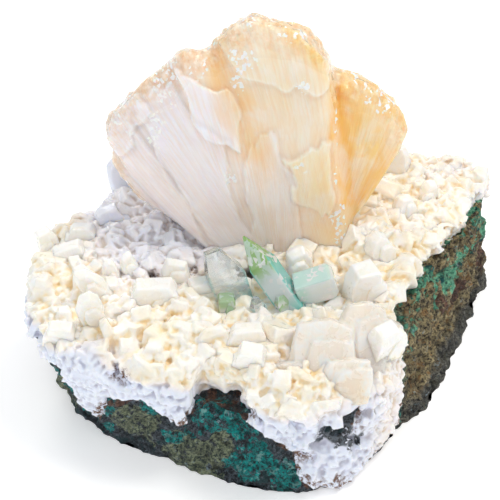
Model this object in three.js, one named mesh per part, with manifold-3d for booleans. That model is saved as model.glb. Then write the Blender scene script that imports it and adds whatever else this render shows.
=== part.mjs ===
// Stilbite with apophyllite on its matrix rock, a hand-sized mineral specimen.
//
// Millimetres, +Z up. The rock stands on its flat base at z = 0. A thick crust of small
// zeolite crystals wraps the top of the rock and runs down its front. A fan of stilbite
// rises out of the crust, with clear apophyllite crystals at its foot and larger stilbite
// blades round it. Every crystal sits in a socket cut in the crust, GAP clear of it.

import * as THREE from 'three';
import { mergeVertices } from 'three/addons/utils/BufferGeometryUtils.js';
import Module from 'manifold-3d';

const wasm = await Module();
wasm.setup();

// ---------------------------------------------------------------- driving dimensions

const GAP = 0.3; // clearance between one solid and the next
const CUT_TOLERANCE = 0.02; // vertices of a cut closer than this are one
const CORNER_FACTOR = 1.7; // how much further a corner moves than the faces that meet there
const ORIGIN_SHIFT = [-4.98, -2.34]; // brings the middle of the footprint to x = y = 0

const STEPS_PER_POINT = 3; // outline samples between two control points
const ROCK_BUMP = 0.7; // depth of the broad waves in the rock's side
const ROCK_SIDE_SHARES = [0.25, 0.5, 0.75, 1]; // shares of the side's height that carry a ring
const BASE_BEVEL = [0.6, 1.5]; // width and height of the small bevel round the foot of the rock
const ROCK_FLOOR = 14; // top of the rock under the middle of the crust

// Rings over the top of the rock: [share of the outline, share of the way from the shoulder
// down to ROCK_FLOOR, further drop].
const ROCK_TOP_RINGS = [[0.86, 0, 1.5], [0.62, 0.75, 0], [0.3, 1, 0]];
const ROCK_TOP_ROUGHNESS = 0.5;

const CRUST_TOP = 30.5; // mean height of the crust away from its rim
const CRUST_DOME = 0.5; // how much higher the middle of the crust stands
const CRUST_BROW = 1.6; // how far the crust's upper edge stands above the rock's shoulder
const CRUST_FLANK_SHARE = 0.45; // share of the crust's side where it is thickest
const CRUST_INSIDE = { share: 0.86, top: 12 }; // hidden ring inside the rock that closes the crust

// Rings over the top of the crust: [share of the outline, share of the way from the shoulder
// up to CRUST_TOP, rise, roughness].
const CRUST_TOP_RINGS = [
  [0.97, 0.65, 0, 0.7], [0.84, 0.9, 0, 1.1], [0.6, 1, 0, 1.2], [0.32, 1, CRUST_DOME, 1.2],
];

// The rock's outline, counterclockwise from the right front: foot [x, y] and shoulder
// [x, y, z], a pair for each control point.
const ROCK_OUTLINE = [
  [[45, -17], [37.5, -14, 27]],
  [[51.5, -3.5], [44.5, 3, 27.5]],
  [[61, 19.5], [55, 17, 28]],
  [[65.6, 31], [62, 33, 28]],
  [[58, 42], [58, 42, 28]],
  [[38, 45], [45, 47, 26]],
  [[12, 44], [14, 48, 24]],
  [[-10, 40], [-12, 45, 24]],
  [[-28, 33], [-30, 38, 24]],
  [[-38, 21], [-42, 24, 24]],
  [[-46, 9], [-50, 10, 25]],
  [[-46.5, -7], [-53, -5, 25]],
  [[-44, -18.5], [-51.5, -16, 24]],
  [[-36, -27], [-39, -29.5, 24]],
  [[-23, -34.5], [-22, -34.5, 23]],
  [[-10.5, -40.5], [-8.5, -37, 22]],
  [[1, -44.5], [1, -40, 22]],
  [[12, -45.5], [11, -41.5, 21]],
  [[22, -43], [20, -41, 21]],
  [[31, -33.5], [28.5, -33, 22]],
  [[38, -24.5], [33.5, -24, 24]],
];

// Height of the crust's lower edge, as [place, z], where place counts along ROCK_OUTLINE.
const CRUST_EDGE = [
  [0, 26], [3, 26], [4, 18], [5, 9], [6, 12], [7, 8], [8, 13], [9, 9], [10, 13], [11, 17],
  [12, 21], [12.6, 19], [13, 5], [13.3, 15], [14, 19], [14.3, 14.5], [14.7, 18.5], [15, 23],
  [15.4, 23], [15.9, 18], [16.4, 14], [16.8, 12], [17, 4], [17.3, 1], [19, 1], [19.6, 3],
  [20, 8], [20.4, 22], [21, 26],
];

const CRUST_EDGE_THICKNESS = 1.5; // how far the lower edge stands out from the rock
const CRUST_SIDE_THICKNESS = 2.7; // how far the side stands out, above the edge
const CRUST_BARE_SETBACK = 0.8; // how far the crust stops short of a bare shoulder
const CRUST_BARE_BAND = 3; // a lower edge this close to the shoulder leaves the side bare

// The lobes of the stilbite fan. Each one rises in straight rays from a level root patch,
// which runs from xFrom to xTo and from yFront to yBack at height z. from and to are the
// angles in degrees of its two sides from upright, positive towards +X; leanFront and
// leanBack tilt its two faces towards +Y; radii are the lengths of the rays from root to
// crown, evenly spread between the two sides.
const FAN_LOBES = [
  { xFrom: -1.6, xTo: 14, z: 20, yFront: 4.2, yBack: 15.1, from: -40, to: -27, leanFront: 9, leanBack: 16,
    radii: [53, 59.5, 63.5, 66, 69] },
  { xFrom: 5, xTo: 3, z: 19.3, yFront: 6, yBack: 17.7, from: -61, to: -44, leanFront: 8, leanBack: 15,
    radii: [36, 44, 49, 53, 54] },
  { xFrom: 12, xTo: 27, z: 19.6, yFront: 7.1, yBack: 18.2, from: -28, to: -14, leanFront: 9, leanBack: 17,
    radii: [64, 69.5, 73.5, 74.5, 73, 64] },
  { xFrom: 22, xTo: 30, z: 20.3, yFront: 13.6, yBack: 23.8, from: -17, to: -12.5, leanFront: 10, leanBack: 18,
    radii: [69, 68.5, 67, 61] },
  { xFrom: 2, xTo: 29.4, z: 19, yFront: 3, yBack: 14.4, from: -30, to: -11, leanFront: 8, leanBack: 14,
    radii: [50, 56, 57, 58, 57] },
  { xFrom: 20, xTo: 23, z: 20.6, yFront: 9.3, yBack: 23.3, from: -6, to: 26, leanFront: 9, leanBack: 18,
    radii: [51, 54, 53.5, 50.5, 46, 37.5] },
  { xFrom: 0, xTo: 16.5, z: 20.9, yFront: 14.5, yBack: 26.2, from: -43, to: -20, leanFront: 12, leanBack: 22,
    radii: [42, 50, 54, 56] },
  { xFrom: 15.5, xTo: 24, z: 21.2, yFront: 15.6, yBack: 26.8, from: -21, to: 24, leanFront: 12, leanBack: 22,
    radii: [56, 54, 48, 40, 32] },
];
const FAN_FOOT = { size: [33, 21.6, 5.2], middle: [12.6, 15.8, 21.2] }; // block round the root patches
const LOBE_STEPS_ACROSS = 8;
const LOBE_STEPS_THROUGH = 5;
const CROWN_SIDE_LOSS = 0.05; // share of a ray's length lost at the two sides of a crown
const CROWN_FRONT_LOSS = 0.05; // the same at its front edge
const CROWN_BACK_LOSS = 0.16; // the same at its back edge, which slopes down

const BLOCK_TIP = { tip: 0.3, flat: 0.62 }; // pyramid's share of the length, and its flat top's width

// Outline of a blade, [share of the half width, share of the length].
const BLADE_OUTLINE = [[-0.8, 0], [0.8, 0], [1, 0.72], [0.3, 1], [-0.35, 0.97], [-1, 0.62]];

// Single crystals. foot is [x, y, z]; lean is the sideways travel of the long axis in x and
// y for each unit of rise; facing is the compass angle of the broad face in degrees from +X.
const PLATE_CLUSTER = [
  { foot: [14.4, -29.5, 25], lean: [0.06, -0.15], facing: -97, size: [21.5, 11, 4.6] },
  { foot: [21.6, -28.4, 25], lean: [0.06, -0.1], facing: -70, size: [20, 8, 6] },
  { foot: [17.5, -34, 22.5], lean: [0.04, -0.3], facing: -84, size: [19.5, 11.5, 4.4] },
  { foot: [8.2, -33.6, 25], lean: [0.1, -0.2], facing: -105, size: [13.5, 6.4, 4.6] },
];

const BLADES = {
  stilbite_blade_left_chisel:
    { foot: [-33.3, -9.4, 27], lean: [-0.64, -0.1], facing: -75, size: [14, 6.4, 3.6] },
  stilbite_blade_left_pale:
    { foot: [-36.6, -18.4, 27], lean: [-0.1, -0.1], facing: -80, size: [13.4, 7, 3] },
  stilbite_blade_pair_tall:
    { foot: [-27.2, -2.6, 27.5], lean: [-0.39, 0.1], facing: -60, size: [9.8, 4.6, 2.6] },
  stilbite_blade_pair_short:
    { foot: [-32.6, -4.2, 27.5], lean: [-0.24, 0.1], facing: -75, size: [8.4, 4.4, 2.6] },
  stilbite_blade_jagged:
    { foot: [-18, -4.6, 27.5], lean: [-0.02, 0.1], facing: -95, size: [9.2, 7.4, 3] },
  stilbite_blade_foot_right:
    { foot: [13.1, -1.2, 28], lean: [-0.2, 0.05], facing: -70, size: [10, 7.4, 4.6] },
  stilbite_blade_right_high:
    { foot: [32.6, 4, 28], lean: [-0.25, 0.1], facing: -60, size: [10, 7, 5] },
  stilbite_blade_right_back:
    { foot: [39.5, 20.5, 28.5], lean: [-0.1, 0.1], facing: -50, size: [8, 6, 3.6] },
  stilbite_blade_right_rim:
    { foot: [46, 27, 29], lean: [0.08, 0.1], facing: -60, size: [7, 5.2, 3.2] },
  stilbite_blade_rear:
    { foot: [-32, 33, 26], lean: [-0.3, 0.3], facing: 110, size: [13, 7.4, 4] },
  stilbite_blade_rear_right:
    { foot: [38, 38, 27], lean: [0.2, 0.3], facing: 70, size: [12, 7, 4] },
};

const BLOCKS = {
  stilbite_block_left:
    { foot: [-22.6, -11.6, 26.5], lean: [-0.02, 0.1], facing: -88, size: [8.6, 10.4, 6.4] },
  stilbite_block_left_rim:
    { foot: [-43.6, 4.4, 27], lean: [-0.3, 0.05], facing: -80, size: [6.6, 8.2, 5] },
  stilbite_block_left_corner:
    { foot: [-50, 10.6, 27], lean: [-0.3, 0], facing: -60, size: [6.6, 5, 5] },
  stilbite_block_left_back:
    { foot: [-42, 11.6, 27.5], lean: [-0.02, 0.1], facing: -92, size: [6.4, 6.4, 4.6] },
  stilbite_block_under_fan:
    { foot: [-35.5, 18.6, 26], lean: [-0.11, 0.05], facing: -70, size: [8, 6.6, 5.4] },
  stilbite_block_right:
    { foot: [25.8, -10.6, 27], lean: [0.11, 0], facing: -65, size: [12.6, 7.4, 6.2] },
  stilbite_block_front:
    { foot: [0, -31.6, 26], lean: [0.04, -0.2], facing: -100, size: [9.4, 6.6, 5] },
  stilbite_block_right_front:
    { foot: [29.8, -26.6, 26], lean: [0.11, -0.2], facing: -55, size: [11.6, 6.4, 5] },
  stilbite_block_middle:
    { foot: [-11.8, -9, 27], lean: [-0.06, 0.1], facing: -75, size: [6.6, 5.4, 4.6] },
  stilbite_block_before_green:
    { foot: [-0.4, -25, 27], lean: [-0.04, 0], facing: -85, size: [7, 8, 5] },
  stilbite_block_left_front:
    { foot: [-44, -21.4, 26], lean: [0, -0.2], facing: -95, size: [6.4, 6.6, 4] },
};

const APOPHYLLITES = {
  apophyllite_tall_green:
    { foot: [11.6, -15.4, 27], lean: [-0.62, 0.35], facing: -62, size: [24.6, 7.8, 6.4],
      tip: 0.58, flat: 0.06 },
  apophyllite_clear_left:
    { foot: [-2.8, -8.4, 26.5], lean: [-0.22, 0.3], facing: -75, size: [16.4, 9.4, 7.4],
      tip: 0.45, flat: 0.42 },
  apophyllite_aqua_right:
    { foot: [13.9, -9.2, 31], lean: [2.6, 0.1], facing: -90, size: [7.2, 6.2, 5.6],
      tip: 0.16, flat: 0.7 },
  apophyllite_cube_green:
    { foot: [-5.6, -15.6, 27.5], lean: [0, 0], facing: -84, size: [5.6, 4, 4],
      tip: 0.1, flat: 0.8 },
  apophyllite_cube_front:
    { foot: [7.4, -22.2, 27], lean: [-0.23, 0], facing: -60, size: [7, 4, 3.6],
      tip: 0.2, flat: 0.6 },
  apophyllite_chip_olive:
    { foot: [-5.6, -20.4, 27], lean: [-0.06, -0.1], facing: -70, size: [6.2, 3, 2.6],
      tip: 0.4, flat: 0.3 },
  apophyllite_chip_clear:
    { foot: [3.2, -16.2, 27], lean: [-0.3, 0], facing: -60, size: [6.6, 3.4, 3],
      tip: 0.35, flat: 0.4 },
};

const COLOURS = {
  rock: 0x4a5a52,
  crust: 0xf5ecdc,
  fan: 0xf0d9bd,
  plate: 0xf3e4d4,
  blade: 0xf8efdf,
  green: 0x9fd6b4,
  clear: 0xdff2ef,
};

// ---------------------------------------------------------------- solids and cuts

/** The geometry with vertices closer than a tolerance merged and collapsed triangles dropped. */
function welded(geometry, tolerance = 1e-4) {
  const bare = geometry.clone();
  bare.deleteAttribute('normal');
  bare.deleteAttribute('uv');
  const merged = mergeVertices(bare, tolerance);
  const corners = merged.index.array;
  const kept = [];
  for (let i = 0; i < corners.length; i += 3) {
    const [a, b, c] = corners.slice(i, i + 3);
    if (a !== b && b !== c && c !== a) kept.push(a, b, c);
  }
  merged.setIndex(kept);
  return merged;
}

/** A manifold-3d solid of a closed geometry. */
function toSolid(geometry) {
  const closed = welded(geometry);
  return new wasm.Manifold(new wasm.Mesh({
    numProp: 3,
    vertProperties: new Float32Array(closed.attributes.position.array),
    triVerts: new Uint32Array(closed.index.array),
  }));
}

/** A BufferGeometry of the largest piece of a solid, so that no cut leaves a loose chip. */
function toGeometry(solid) {
  const pieces = solid.decompose().sort((a, b) => b.volume() - a.volume());
  const mesh = pieces[0].getMesh();
  const geometry = new THREE.BufferGeometry();
  geometry.setAttribute('position', new THREE.BufferAttribute(mesh.vertProperties, 3));
  geometry.setIndex(new THREE.BufferAttribute(mesh.triVerts, 1));
  return welded(geometry, CUT_TOLERANCE);
}

/** The room a body needs: its solid joined with a copy whose faces stand about GAP further out. */
function socket(geometry) {
  const swollen = welded(geometry);
  swollen.computeVertexNormals();
  const place = swollen.attributes.position;
  const normal = swollen.attributes.normal;
  const reach = GAP * CORNER_FACTOR;
  for (let i = 0; i < place.count; i += 1) {
    place.setXYZ(i, place.getX(i) + reach * normal.getX(i), place.getY(i) + reach * normal.getY(i),
      place.getZ(i) + reach * normal.getZ(i));
  }
  return toSolid(swollen).add(toSolid(geometry));
}

/** A named mesh with its own material. */
function part(name, geometry, colour, roughness = 0.6) {
  const material = new THREE.MeshStandardMaterial({ color: colour, roughness, metalness: 0 });
  const mesh = new THREE.Mesh(geometry, material);
  mesh.name = name;
  return mesh;
}

/** A closed body through a stack of equal rings, each counterclockwise seen from above. */
function ringStack(bottom, rings, top) {
  const count = rings[0].length;
  const positions = [];
  const indices = [];
  [bottom, ...rings.flat(), top].forEach((point) => positions.push(...point.toArray()));
  const at = (ring, i) => 1 + ring * count + (i % count);
  const last = 1 + rings.length * count;
  for (let i = 0; i < count; i += 1) {
    indices.push(0, at(0, i + 1), at(0, i));
    for (let ring = 0; ring + 1 < rings.length; ring += 1) {
      indices.push(at(ring, i), at(ring, i + 1), at(ring + 1, i + 1));
      indices.push(at(ring, i), at(ring + 1, i + 1), at(ring + 1, i));
    }
    indices.push(at(rings.length - 1, i), at(rings.length - 1, i + 1), last);
  }
  const geometry = new THREE.BufferGeometry();
  geometry.setAttribute('position', new THREE.Float32BufferAttribute(positions, 3));
  geometry.setIndex(indices);
  return geometry;
}

// ---------------------------------------------------------------- rock and crust

const OUTLINE_COUNT = ROCK_OUTLINE.length * STEPS_PER_POINT;
const places = Array.from({ length: OUTLINE_COUNT }, (_, i) => i / STEPS_PER_POINT);

/** Samples of the closed smooth curve through the given points, one for each place. */
function closedCurve(points) {
  const curve = new THREE.CatmullRomCurve3(points, true, 'centripetal');
  return places.map((place) => curve.getPoint(place / ROCK_OUTLINE.length));
}

const footRing = closedCurve(ROCK_OUTLINE.map(([foot]) => new THREE.Vector3(foot[0], foot[1], 0)));
const shoulderRing = closedCurve(ROCK_OUTLINE.map(([, shoulder]) => new THREE.Vector3(...shoulder)));

/** Unevenness of a natural surface, a sum of three waves between -1 and 1. */
function unevenness(x, y, z) {
  const slow = Math.sin(0.31 * x + 0.17 * y + 0.4 * z);
  const medium = Math.sin(0.53 * y - 0.41 * x + 0.23 * z + 1.7);
  const quick = Math.sin(0.93 * x + 0.71 * y - 0.8 * z + 4.1);
  return (slow + medium + quick) / 3;
}

/** The point of the rock's side at one place of the outline and a share of its height. */
function rockSide(i, share, out = 0) {
  const point = footRing[i].clone().lerp(shoulderRing[i], share);
  const away = new THREE.Vector3(point.x, point.y, 0).normalize();
  const bump = share > 0 ? ROCK_BUMP * unevenness(point.x, point.y, point.z) : 0;
  return point.addScaledVector(away, bump + out);
}

/** A ring over the top of a body: its outline shrunk to a share, at a height of its own. */
function topRing(share, height, roughness) {
  return shoulderRing.map((shoulder) => {
    const x = shoulder.x * share;
    const y = shoulder.y * share;
    return new THREE.Vector3(x, y, height(shoulder) + roughness * unevenness(x, y, 0));
  });
}

function rockGeometry() {
  const [bevelWidth, bevelHeight] = BASE_BEVEL;
  const foot = places.map((_, i) => rockSide(i, 0));
  const bevel = places.map((_, i) => rockSide(i, bevelHeight / shoulderRing[i].z, bevelWidth));
  const sides = ROCK_SIDE_SHARES.map((share) => places.map((_, i) => rockSide(i, share)));
  const tops = ROCK_TOP_RINGS.map(([share, way, drop]) => topRing(share,
    (shoulder) => THREE.MathUtils.lerp(shoulder.z, ROCK_FLOOR, way) - drop, ROCK_TOP_ROUGHNESS));
  return ringStack(new THREE.Vector3(0, 0, 0), [foot, bevel, ...sides, ...tops],
    new THREE.Vector3(0, 0, ROCK_FLOOR));
}

/** The height in a table of [place, z] at one place along the outline. */
function heightAt(table, place) {
  const next = table.findIndex(([known]) => known > place);
  const [a, za] = table[next - 1];
  const [b, zb] = table[next];
  return za + (zb - za) * (place - a) / (b - a);
}

function crustGeometry() {
  const edge = places.map((place) => heightAt(CRUST_EDGE, place));
  const bare = edge.map((z, i) => z > shoulderRing[i].z - CRUST_BARE_BAND);
  const side = (i, z, out) => rockSide(i, z / shoulderRing[i].z, bare[i] ? -CRUST_BARE_SETBACK : out);
  const inside = places.map((_, i) => {
    const point = side(i, edge[i], 0).multiplyScalar(CRUST_INSIDE.share);
    return point.setZ(Math.min(edge[i], CRUST_INSIDE.top));
  });
  const lower = places.map((_, i) => side(i, edge[i], CRUST_EDGE_THICKNESS));
  const flank = places.map((_, i) => {
    const middle = THREE.MathUtils.lerp(edge[i], shoulderRing[i].z, CRUST_FLANK_SHARE);
    return side(i, middle, CRUST_SIDE_THICKNESS);
  });
  const brow = places.map((_, i) => {
    const point = side(i, shoulderRing[i].z, CRUST_SIDE_THICKNESS);
    return point.setZ(shoulderRing[i].z + CRUST_BROW);
  });
  const tops = CRUST_TOP_RINGS.map(([share, way, rise, roughness]) => topRing(share,
    (shoulder) => THREE.MathUtils.lerp(shoulder.z, CRUST_TOP, way) + rise, roughness));
  return ringStack(new THREE.Vector3(0, 0, CRUST_INSIDE.top), [inside, lower, flank, brow, ...tops],
    new THREE.Vector3(0, 0, CRUST_TOP + CRUST_DOME));
}

// ---------------------------------------------------------------- stilbite fan

/** Straight-line value of a list of samples at a share between 0 and 1. */
function sampled(list, share) {
  const place = share * (list.length - 1);
  const low = Math.min(Math.floor(place), list.length - 2);
  return THREE.MathUtils.lerp(list[low], list[low + 1], place - low);
}

/** One lobe: straight rays from a level root patch to a domed crown, closed all round. */
function lobeGeometry(lobe) {
  const { lerp, degToRad } = THREE.MathUtils;
  const across = LOBE_STEPS_ACROSS;
  const through = LOBE_STEPS_THROUGH;
  const root = [];
  const crown = [];
  for (let i = 0; i <= across; i += 1) {
    for (let j = 0; j <= through; j += 1) {
      const s = i / across;
      const t = j / through;
      const x = lerp(lobe.xFrom, lobe.xTo, s);
      const y = lerp(lobe.yFront, lobe.yBack, t);
      const foot = new THREE.Vector3(x, y, lobe.z);
      const turn = degToRad(lerp(lobe.from, lobe.to, s));
      const tilt = degToRad(lerp(lobe.leanFront, lobe.leanBack, t));
      const level = Math.cos(tilt);
      const ray = new THREE.Vector3(Math.sin(turn) * level, Math.sin(tilt), Math.cos(turn) * level);
      const loss = CROWN_SIDE_LOSS * (2 * s - 1) ** 6 + CROWN_BACK_LOSS * t * t
        + CROWN_FRONT_LOSS * Math.max(0, 1 - 4 * t) ** 2;
      root.push(foot);
      crown.push(foot.clone().addScaledVector(ray, sampled(lobe.radii, s) * (1 - loss)));
    }
  }
  const low = (i, j) => i * (through + 1) + j;
  const high = (i, j) => root.length + low(i, j);
  const indices = [];
  const quad = (a, b, c, d) => indices.push(a, b, c, a, c, d);
  for (let i = 0; i < across; i += 1) {
    quad(low(i, 0), low(i + 1, 0), high(i + 1, 0), high(i, 0));
    quad(low(i, through), high(i, through), high(i + 1, through), low(i + 1, through));
    for (let j = 0; j < through; j += 1) {
      quad(high(i, j), high(i + 1, j), high(i + 1, j + 1), high(i, j + 1));
      quad(low(i, j), low(i, j + 1), low(i + 1, j + 1), low(i + 1, j));
    }
  }
  for (let j = 0; j < through; j += 1) {
    quad(low(0, j), high(0, j), high(0, j + 1), low(0, j + 1));
    quad(low(across, j), low(across, j + 1), high(across, j + 1), high(across, j));
  }
  const geometry = new THREE.BufferGeometry();
  const positions = [...root, ...crown].flatMap((point) => point.toArray());
  geometry.setAttribute('position', new THREE.Float32BufferAttribute(positions, 3));
  geometry.setIndex(indices);
  return geometry;
}

/** The block under the fan, buried in the crust, that the root patches of all lobes lie in. */
function fanFootGeometry() {
  return new THREE.BoxGeometry(...FAN_FOOT.size).translate(...FAN_FOOT.middle);
}

// ---------------------------------------------------------------- single crystals

/** A flat blade standing on z = 0 with a slanted chisel tip, its broad faces across Y. */
function bladeGeometry(length, width, thickness) {
  const corners = BLADE_OUTLINE.map(([x, y]) => new THREE.Vector2(x * width / 2, y * length));
  const outline = new THREE.Shape(corners);
  const geometry = new THREE.ExtrudeGeometry(outline, { depth: thickness, bevelEnabled: false });
  geometry.translate(0, 0, -thickness / 2);
  geometry.rotateX(Math.PI / 2);
  return geometry;
}

/** A four-sided prism on z = 0 with a pyramid on top, cut off flat at a share of the width. */
function prismGeometry(length, width, depth, tip, flat) {
  const corner = width / Math.SQRT2;
  const profile = [
    new THREE.Vector2(0, 0),
    new THREE.Vector2(corner, 0),
    new THREE.Vector2(corner, length * (1 - tip)),
    new THREE.Vector2(corner * flat, length),
    new THREE.Vector2(0, length),
  ];
  const geometry = new THREE.LatheGeometry(profile, 4, Math.PI / 4);
  geometry.scale(1, 1, depth / width);
  geometry.rotateX(Math.PI / 2);
  return geometry;
}

/** Stands a crystal on its foot, leant over and turned to face its own way. */
function stood(mesh, { foot, lean, facing }) {
  const axis = new THREE.Vector3(lean[0], lean[1], 1).normalize();
  const angle = THREE.MathUtils.degToRad(facing);
  const face = new THREE.Vector3(Math.cos(angle), Math.sin(angle), 0);
  face.addScaledVector(axis, -face.dot(axis)).normalize();
  const across = new THREE.Vector3().crossVectors(axis, face);
  const turned = new THREE.Matrix4().makeBasis(across, face.negate(), axis);
  mesh.quaternion.setFromRotationMatrix(turned);
  mesh.position.set(...foot);
  mesh.updateMatrixWorld(true);
  return mesh;
}

/** The geometry of a standing mesh in the model's own frame. */
function placedGeometry(mesh) {
  return mesh.geometry.clone().applyMatrix4(mesh.matrixWorld);
}

// ---------------------------------------------------------------- assembly

const crystals = [];

for (const [name, crystal] of Object.entries(BLADES)) {
  crystals.push(stood(part(name, welded(bladeGeometry(...crystal.size)), COLOURS.blade), crystal));
}
for (const [name, crystal] of Object.entries(BLOCKS)) {
  const geometry = welded(prismGeometry(...crystal.size, BLOCK_TIP.tip, BLOCK_TIP.flat));
  crystals.push(stood(part(name, geometry, COLOURS.blade), crystal));
}
for (const [name, crystal] of Object.entries(APOPHYLLITES)) {
  const geometry = welded(prismGeometry(...crystal.size, crystal.tip, crystal.flat));
  const colour = name.includes('clear') ? COLOURS.clear : COLOURS.green;
  crystals.push(stood(part(name, geometry, colour, 0.05), crystal));
}

/** The join of a list of solids. */
function joined(solids) {
  return solids.reduce((all, one) => all.add(one));
}

const plateBodies = PLATE_CLUSTER.map((plate) => {
  const mesh = stood(part('plate', bladeGeometry(...plate.size), COLOURS.plate), plate);
  return placedGeometry(mesh);
});
const plateSolid = joined(plateBodies.map(toSolid));
const plates = part('stilbite_plates_front', toGeometry(plateSolid), COLOURS.plate, 0.3);

const lobes = [fanFootGeometry(), ...FAN_LOBES.map(lobeGeometry)];
const fan = part('stilbite_fan', toGeometry(joined(lobes.map(toSolid))), COLOURS.fan, 0.35);

const rock = part('matrix_rock', welded(rockGeometry()), COLOURS.rock, 0.9);

const sockets = [rock.geometry, ...lobes, ...plateBodies, ...crystals.map(placedGeometry)].map(socket);
const crustSolid = toSolid(crustGeometry()).subtract(joined(sockets));
const crust = part('zeolite_crust', toGeometry(crustSolid), COLOURS.crust, 0.7);

const model = new THREE.Group();
model.name = 'stilbite_with_apophyllite';
model.add(rock, crust, fan, plates, ...crystals);
model.position.set(...ORIGIN_SHIFT, 0);

export default model;
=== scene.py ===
"""Stilbite with apophyllite on its matrix rock: the finished look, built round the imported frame.

Shapes are worked out in millimetres in the bench frame, where the specimen was laid out, and
put into Blender in metres in the row frame, BENCH_TO_ROW away.
"""

import logging
import math
from collections.abc import Sequence
from dataclasses import dataclass, field
from enum import Enum

import bpy
import numpy as np
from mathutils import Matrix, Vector


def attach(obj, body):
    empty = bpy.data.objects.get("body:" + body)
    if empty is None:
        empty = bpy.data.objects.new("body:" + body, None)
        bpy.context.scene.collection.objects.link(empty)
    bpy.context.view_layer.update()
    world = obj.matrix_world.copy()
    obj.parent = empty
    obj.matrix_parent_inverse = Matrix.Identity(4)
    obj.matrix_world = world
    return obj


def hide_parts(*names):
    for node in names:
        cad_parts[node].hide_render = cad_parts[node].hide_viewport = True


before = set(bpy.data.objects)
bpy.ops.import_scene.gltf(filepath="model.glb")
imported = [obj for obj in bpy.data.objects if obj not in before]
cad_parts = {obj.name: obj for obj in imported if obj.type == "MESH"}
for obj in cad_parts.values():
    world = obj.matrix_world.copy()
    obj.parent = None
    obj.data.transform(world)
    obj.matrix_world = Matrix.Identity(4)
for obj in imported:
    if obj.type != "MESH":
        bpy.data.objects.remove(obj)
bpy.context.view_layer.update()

LOG = logging.getLogger("stilbite")

METRES = 0.001  # metres in a millimetre
BENCH_TO_ROW = np.array([-4.98, -2.34, 0.0])
SHARP_FROM = 35  # degrees at which a single crystal's edge stays sharp

Array = np.ndarray
Colour = tuple[float, float, float]
Socket = bpy.types.NodeSocket


# ---------------------------------------------------------------- numbers and noise


def tint(red: int, green: int, blue: int) -> Colour:
    """A display colour from 0 to 255 as the linear colour that shaders work in.

    Each channel c becomes ((c + 0.055) / 1.055) to the power 2.4.

    Args:
        red: display red.
        green: display green.
        blue: display blue.

    Returns:
        The linear colour.
    """
    return tuple(((c / 255 + 0.055) / 1.055) ** 2.4 for c in (red, green, blue))


def eased(low: float, high: float, x: Array) -> Array:
    """A smooth rise from 0 at low to 1 at high: three times the share squared less twice its cube."""
    share = np.clip((x - low) / (high - low), 0, 1)
    return share * share * (3 - 2 * share)


def cell_random(cells: Array, seed: int) -> Array:
    """A repeatable random number between 0 and 1 for each whole-numbered cell.

    The three cell numbers are each multiplied by a large odd number and summed with the seed,
    and the bits of the sum are stirred by two shift-and-multiply rounds.

    Args:
        cells: whole numbers, with three in the last axis.
        seed: picks another set of random numbers.

    Returns:
        One number for each cell.
    """
    mask = np.uint64(0xFFFFFFFF)
    c = cells.astype(np.int64).astype(np.uint64)
    mixed = c[..., 0] * np.uint64(374761393) + c[..., 1] * np.uint64(668265263)
    mixed = (mixed + c[..., 2] * np.uint64(2246822519) + np.uint64(seed * 3266489917)) & mask
    mixed = ((mixed ^ (mixed >> np.uint64(15))) * np.uint64(2246822519)) & mask
    mixed = ((mixed ^ (mixed >> np.uint64(13))) * np.uint64(3266489917)) & mask
    return ((mixed ^ (mixed >> np.uint64(16))) & mask).astype(float) / float(0xFFFFFFFF)


def soft_noise(points: Array, size: float, seed: int) -> Array:
    """Smooth noise between -1 and 1.

    Random values at the corners of a cubic lattice are blended with eased weights, the product
    of the three eased shares of the way across the cell.

    Args:
        points: places, three numbers each.
        size: edge of a lattice cell, in the same unit.
        seed: picks another noise.

    Returns:
        One value for each place.
    """
    scaled = points / size
    low = np.floor(scaled)
    part = scaled - low
    part = part * part * (3 - 2 * part)
    total = np.zeros(points.shape[:-1])
    for corner in np.ndindex(2, 2, 2):
        step = np.array(corner, float)
        weight = np.prod(np.where(step > 0, part, 1 - part), axis=-1)
        total += weight * cell_random(low + step, seed)
    return total * 2 - 1


def layered_noise(points: Array, size: float, seed: int, layers: int = 3) -> Array:
    """Smooth noise summed over layers, each half as large in size and in strength."""
    total = sum(soft_noise(points, size / 2**k, seed + k) / 2**k for k in range(layers))
    return total / (2 - 2 ** (1 - layers))


def strayed(points: Array, size: float, seed: int, layers: int, far: float) -> Array:
    """Places moved by layered noise of its own along each axis, up to about far millimetres."""
    return points + far * np.stack([layered_noise(points, size, seed + k, layers) for k in range(3)], axis=-1)


def line_noise(values: Array, seed: int) -> Array:
    """Smooth noise between -1 and 1 along a line, which changes over steps of 1."""
    return soft_noise(np.stack([values, np.zeros_like(values), np.zeros_like(values)], axis=-1), 1.0, seed)


def covered(points: Array, patches: Sequence[tuple], start: float = 1.3, slope: float = 1.0,
            squash: tuple[float, float, float] = (1, 1, 1)) -> Array:
    """How strongly round patches cover places: the most of start less slope distances over radius.

    Args:
        points: the places.
        patches: [x, y, z, radius] of each patch.
        start: the value in a patch's middle, before it is held between 0 and 1.
        slope: how much of it is lost by the radius.
        squash: how much each axis counts in a distance.

    Returns:
        One value between 0 and 1 for each place.
    """
    best = np.zeros(points.shape[:-1])
    for *middle, radius in patches:
        away = np.linalg.norm((points - middle) * squash, axis=-1)
        best = np.maximum(best, np.clip(start - slope * away / radius, 0, 1))
    return best


def between(ends: tuple[float, float], share: Array) -> Array:
    """The value at a share of the way from one end to the other."""
    return ends[0] + (ends[1] - ends[0]) * share


def random_turns(count: int, seed: int) -> Array:
    """Evenly random rotation matrices, from unit quaternions of four normal numbers each."""
    q = np.random.default_rng(seed).normal(size=(count, 4))
    w, x, y, z = (q / np.linalg.norm(q, axis=1, keepdims=True)).T
    rows = [
        [1 - 2 * (y * y + z * z), 2 * (x * y - z * w), 2 * (x * z + y * w)],
        [2 * (x * y + z * w), 1 - 2 * (x * x + z * z), 2 * (y * z - x * w)],
        [2 * (x * z - y * w), 2 * (y * z + x * w), 1 - 2 * (x * x + y * y)],
    ]
    return np.array(rows).transpose(2, 0, 1)


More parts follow.
